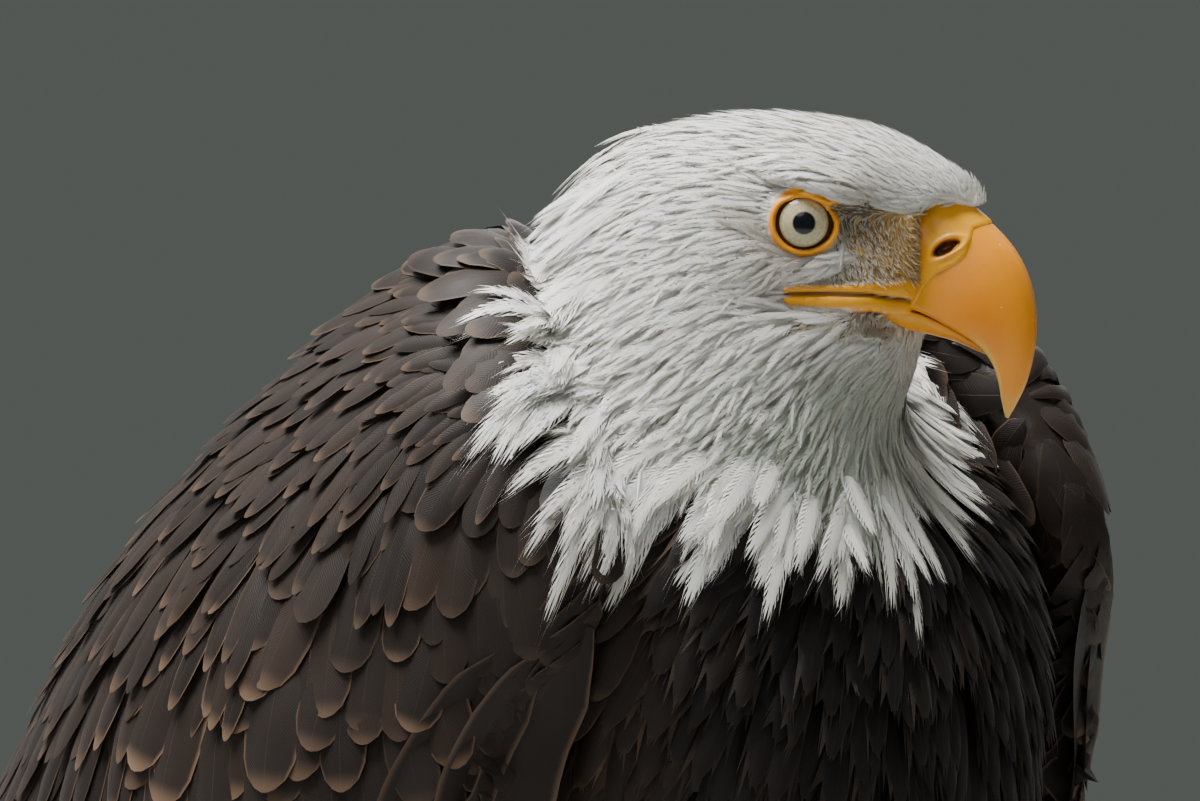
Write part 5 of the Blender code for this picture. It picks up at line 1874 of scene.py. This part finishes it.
def makeCere():
    # soft skin over the bill's root, with a nostril sunk into each side
    steps = np.concatenate([np.linspace(0, 1, 120), [1.006, 1.01]])[:, None]
    turns = np.radians(np.linspace(-90, 90, bill["arch"] * 2 + 1))
    rise = np.maximum(np.cos(turns), 0) ** bill["upperRoundness"]
    uGrid = 0.15 + (cereBorder(rise)[None, :] - 0.15) * steps

    def swell(far, side, up, rise):
        t = np.broadcast_to(steps, far.shape)
        thick = bill["cereThickness"] * np.sqrt(np.clip(1 - smooth(0.93, 1.008, t), 0, 1))
        thick -= 0.25 * mm * (t > 1.003)
        inside = nostrilShare(far, side, up)
        rim = 0.45 * mm * np.exp(-((np.minimum(inside + 0.28, 0.6) / 0.26) ** 2))
        hollow = nostril["depth"] * smooth(0.0, 0.42, inside) - 0.9 * mm * smooth(0.45, 0.9, inside)
        wrinkle = 0.12 * mm * np.sin(far / (1.3 * mm) + up / (2.6 * mm)) * smooth(0.95, 0.7, rise)
        return thick + rim + wrinkle * smooth(-0.2, -0.8, inside) - hollow

    shell = billShell(upperBill, bill["upperRoundness"], uGrid, swell)[0]
    addBillPiece("cere", shell, cereTint, "cere")


def eyeFinish():
    # pupil, pale iris with fine spokes and rings, dark border, under one clear wet coat
    finish, w = finishNamed(
        "eye", Roughness=0.25, Coat_Weight=1.0, Coat_Roughness=0.015, Coat_IOR=1.40, Specular_IOR_Level=0.2
    )
    radius = w.attribute("fromGaze")
    around = w.attribute("around", "Vector")
    spokes = w.noise(around, 9.0, 3.0, 0.6)
    rings = w.math("MULTIPLY_ADD", w.math("SINE", w.times(radius, 5.2)), 0.5, 0.5)
    iris = w.mix(w.ramp(spokes, 0.35, 0.65, 0.0, 0.55), (0.60, 0.55, 0.34), (0.36, 0.32, 0.20))
    iris = w.mix(w.times(rings, 0.16), iris, (0.28, 0.24, 0.15))
    iris = w.mix(w.ramp(radius, 3.5, 3.0, 0.0, 0.75), iris, (0.08, 0.06, 0.03))
    iris = w.mix(w.ramp(radius, 5.7, 6.6, 0.0, 0.55), iris, (0.20, 0.16, 0.09))
    ball = w.mix(w.ramp(radius, 6.45, 6.8), iris, (0.018, 0.010, 0.006))
    w.send(w.mix(w.ramp(radius, 3.05, 2.9), ball, (0.004, 0.005, 0.009)), "Base Color")
    return finish


finishes["eye"] = eyeFinish()


def makeEyes():
    # balls with a bulging front; each point knows how far it lies from the middle of the gaze, and which way
    for side, sign in (("right", 1), ("left", -1)):
        centre, out, front = gazeFrame(sign)
        above = np.cross(out, front)
        theta = np.concatenate([np.linspace(0, 0.75, 64), np.linspace(0.80, np.pi, 30)])[1:-1]
        phi = 2 * np.pi * np.arange(96) / 96
        wide = np.sin(theta)[:, None] * gaze["ball"]
        bulge = 0.55 * mm * bell(wide, 6.2 * mm, 4) * (theta < 1)[:, None]
        high = np.cos(theta)[:, None] * gaze["ball"] + bulge - 0.15 * mm
        flat = front * np.cos(phi)[None, :, None] + above * np.sin(phi)[None, :, None]
        points = centre + out * (high + 0 * phi)[..., None] + flat * wide[..., None]
        mesh = meshFrom("eye_" + side, [loftShell(points)])
        height, flat, _, _ = gazeOffsets(vertexPlaces(mesh), sign)
        radial = np.linalg.norm(flat, axis=1)
        paint(mesh, "fromGaze", np.where(height > 0, radial, 12 * mm) / mm)
        spokes = flat / np.maximum(radial, 1e-6)[:, None]
        layer = mesh.attributes.new("around", "FLOAT_VECTOR", "POINT")
        spokes += out * radial[:, None] / (9 * mm)
        layer.data.foreach_set("vector", spokes.ravel().astype(np.float32))
        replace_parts(pieceFrom("eye_" + side, mesh, finishes["eye"]), "eye_" + side)


def clawFinish():
    # black horn with fine lines along it, worn a little greyer towards the point
    finish, w = finishNamed("claw_horn", Roughness=0.3, Coat_Weight=0.3, Coat_Roughness=0.2)
    place = w.place()
    worn = w.noise(place, 140.0, 3.0)
    tint = w.mix(w.ramp(worn, 0.45, 0.75, 0.0, 0.5), (0.013, 0.012, 0.013), (0.06, 0.052, 0.045))
    w.send(tint, "Base Color")
    fine = w.noise(place, 700.0, 3.0)
    w.send(w.bump(fine, 0.00015, 0.6), "Normal")
    w.send(w.math("MULTIPLY_ADD", worn, 0.3, 0.18), "Roughness")
    return finish


finishes["claw"] = clawFinish()


def makeClaws():
    # each claw is an arc that rises over its toe's end and comes down to just above the floor
    for side in bothSides:
        sign, ankle, _ = footPlaces(side)
        for toe, (heading, length, radius, clawLength) in foot["toes"].items():
            out, across = toeAxes(sign, heading)
            line = toeLine(ankle, out, length, radius)[0]
            start = line[-1] - out * foot["sunk"] * 2
            start[2] = line[-10, 2]
            bend = clawLength / foot["clawSweep"]
            drop = start[2] - foot["clawClearance"]
            rising = foot["clawSweep"] / 2 - math.asin(drop / (2 * bend * math.sin(foot["clawSweep"] / 2)))
            angle = rising - foot["clawSweep"] * np.linspace(0, 1, 40)
            middle = start + out * (bend * (math.sin(rising) - np.sin(angle)))[:, None]
            middle = middle + upward * (bend * (np.cos(angle) - math.cos(rising)))[:, None]
            tangent = unit(np.gradient(middle, axis=0))
            over = np.cross(across, tangent)
            thick = radius * 0.60 * (1 - np.linspace(0, 1, 40)) ** 0.7 + 0.00022
            turns = 2 * np.pi * np.arange(24) / 24
            ring = across * (np.cos(turns) * 0.86)[:, None] + over[:, None] * np.sin(turns)[:, None]
            points = middle[:, None] + ring * thick[:, None, None]
            points[..., 2] = np.maximum(points[..., 2], 0.0003)
            name = f"claw_{toe}_{side}"
            piece = pieceFrom(name, meshFrom(name, [loftShell(points)]), finishes["claw"])
            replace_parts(piece, name)


bristle = {"density": 2.3e6, "length": 2.5 * mm, "width": 0.42 * mm, "stand": 1.0 * mm}


def loreBand(points):
    # the bristly skin between eye and bill, and beside the chin
    far, side, up = toHead(points)
    upper, lower = lipShares(points)[:2]
    overMouth = up - mouthLine(far)
    front = (far > 7 * mm) & (far < faceLine("bristles", up)) & (up > -24 * mm)
    front &= up < faceLine("lore", far) + 0.4 * mm
    behind = (far > -4.5 * mm) & (far <= 9 * mm) & (overMouth < 7 * mm + 0.5 * far)
    clear = (eyeOffsets(points)[0] > 9.6 * mm) & (np.maximum(upper, lower) < 0.15) & (overMouth > 2.5 * mm)
    chin = within(far, -3, 19) & (overMouth < -4.6 * mm) & (up > -31 * mm) & (np.abs(side) > 7 * mm)
    return ((front | behind) & (np.abs(side) > 5 * mm) & clear) | chin


def foreheadBand(points):
    far, _, up = toHead(points)
    return (far > 20 * mm) & (up > faceLine("forehead", far))


def browBand(points):
    return onBrow(points) & ~foreheadBand(points) & (eyeOffsets(points)[2] > 0.75 * mm)


def lidBand(points):
    radius, towards, over = eyeOffsets(points)
    return within(radius, 9.3, 12.5) & (over < 0.5 * mm) & (towards < 7 * mm)


def awayFromEyes(points):
    # backwards, and away from the middle of the nearer eye
    return roundEyes(points, np.zeros(points.shape)) - ahead * 0.3


def chinBand(points):
    far, _, up = toHead(points)
    under = mouthLine(far) - 5 * mm - 0.12 * (far - 8 * mm)
    return within(far, 3, 31) & (up > -40 * mm) & (up < under)


def softTufts(name, band, density, length, width, way):
    # short soft feathers, stood up a little over the ridge of the bill; length and width in mm
    roots = scattered(band, density)
    tip = smoothMm(33, 43, toHead(roots)[0])[:, None]
    flows = way(roots) * (1 - tip) + (upward * 0.8 + ahead * 0.5) * tip + dice.normal(0, 0.12, roots.shape)
    lengths = length * mm * varying(0.7, 1.2, roots)
    widths = width * mm * varying(0.8, 1.2, roots)
    stand = 0.9 * mm + 1.6 * mm * tip[:, 0]
    laid = layFeathers("plume", roots, flows, lengths, widths, stand, stations=2, splay=0.2)
    laid, clear = clearOfFace(laid)
    dusky = (dice.uniform(size=int(clear.sum())) < 0.12) * 0.4
    feathersMesh(name, laid, layered(colours["white"], ("dusky", dusky)), (0.9, 1), (0.04, 0.04), "white")


def faceBristles():
    # thin bristles: up and back beside the forehead, down and forward along the bill, back under the chin
    roots = scattered(loreBand, bristle["density"])
    far, side, up = toHead(roots)
    high = smoothMm(-3, 6, up)[:, None]
    flows = (upward * -0.9 + ahead * 0.35) * (1 - high) + (upward * 0.55 - ahead * 0.8) * high
    byBill = smoothMm(22, 27, far)[:, None]
    flows += ahead * 0.9 * byBill
    chin = up < mouthLine(far)
    flows[chin] = -ahead * 0.8 - upward * 0.5
    lengths = bristle["length"] * varying(0.6, 1.2, roots) * np.where(chin, 1.9, 1 + 0.5 * high[:, 0])
    widths = bristle["width"] * varying(0.7, 1.3, roots) * np.where(chin, 1.5, 1)
    stand = bristle["stand"] * np.where(chin, 1.5, 1 + 0.9 * byBill[:, 0])
    laid = layFeathers("bristle", roots, flows, lengths, widths, stand, stations=2, splay=0.35, rise=1.1)
    pastel = np.where(chin, 0.85, 0.68)[:, None]
    pale = smoothMm(9, 4, far)
    rear = smoothMm(-8, 4, up) * smoothMm(27, 15, far)
    share = np.where(chin, 0.10, (0.24 + 0.40 * rear) * (1 - 0.8 * pale))
    dark = (dice.uniform(size=len(roots)) < share) * 0.8
    yellow = smoothMm(14, 25, far) * 0.5 * ~chin
    cream = colours["white"] * np.array([1.0, 0.94, 0.80]) * pastel
    colour = layered(cream, ("bristleDark", dark), ("bristleYellow", yellow))
    feathersMesh("face_bristles", laid, colour, (0.8, 1), (0.1, 0.12), "white")


makeBill()
makeCere()
makeEyes()
makeClaws()
faceBristles()
softTufts("forehead_tufts", foreheadBand, 1.0e6, 5.0, 1.35, lambda roots: upward * 0.35 - ahead * 0.90)
softTufts("brow_tufts", browBand, 1.3e6, 8.0, 1.6, lambda roots: upward * 0.30 - ahead * 0.95)
softTufts("lid_tufts", lidBand, 1.0e6, 3.6, 0.9, awayFromEyes)
softTufts("chin_tufts", chinBand, 0.55e6, 6.5, 1.8, lambda roots: -ahead * 0.97 - upward * 0.2)
print("bill, eyes, claws and bristles made")
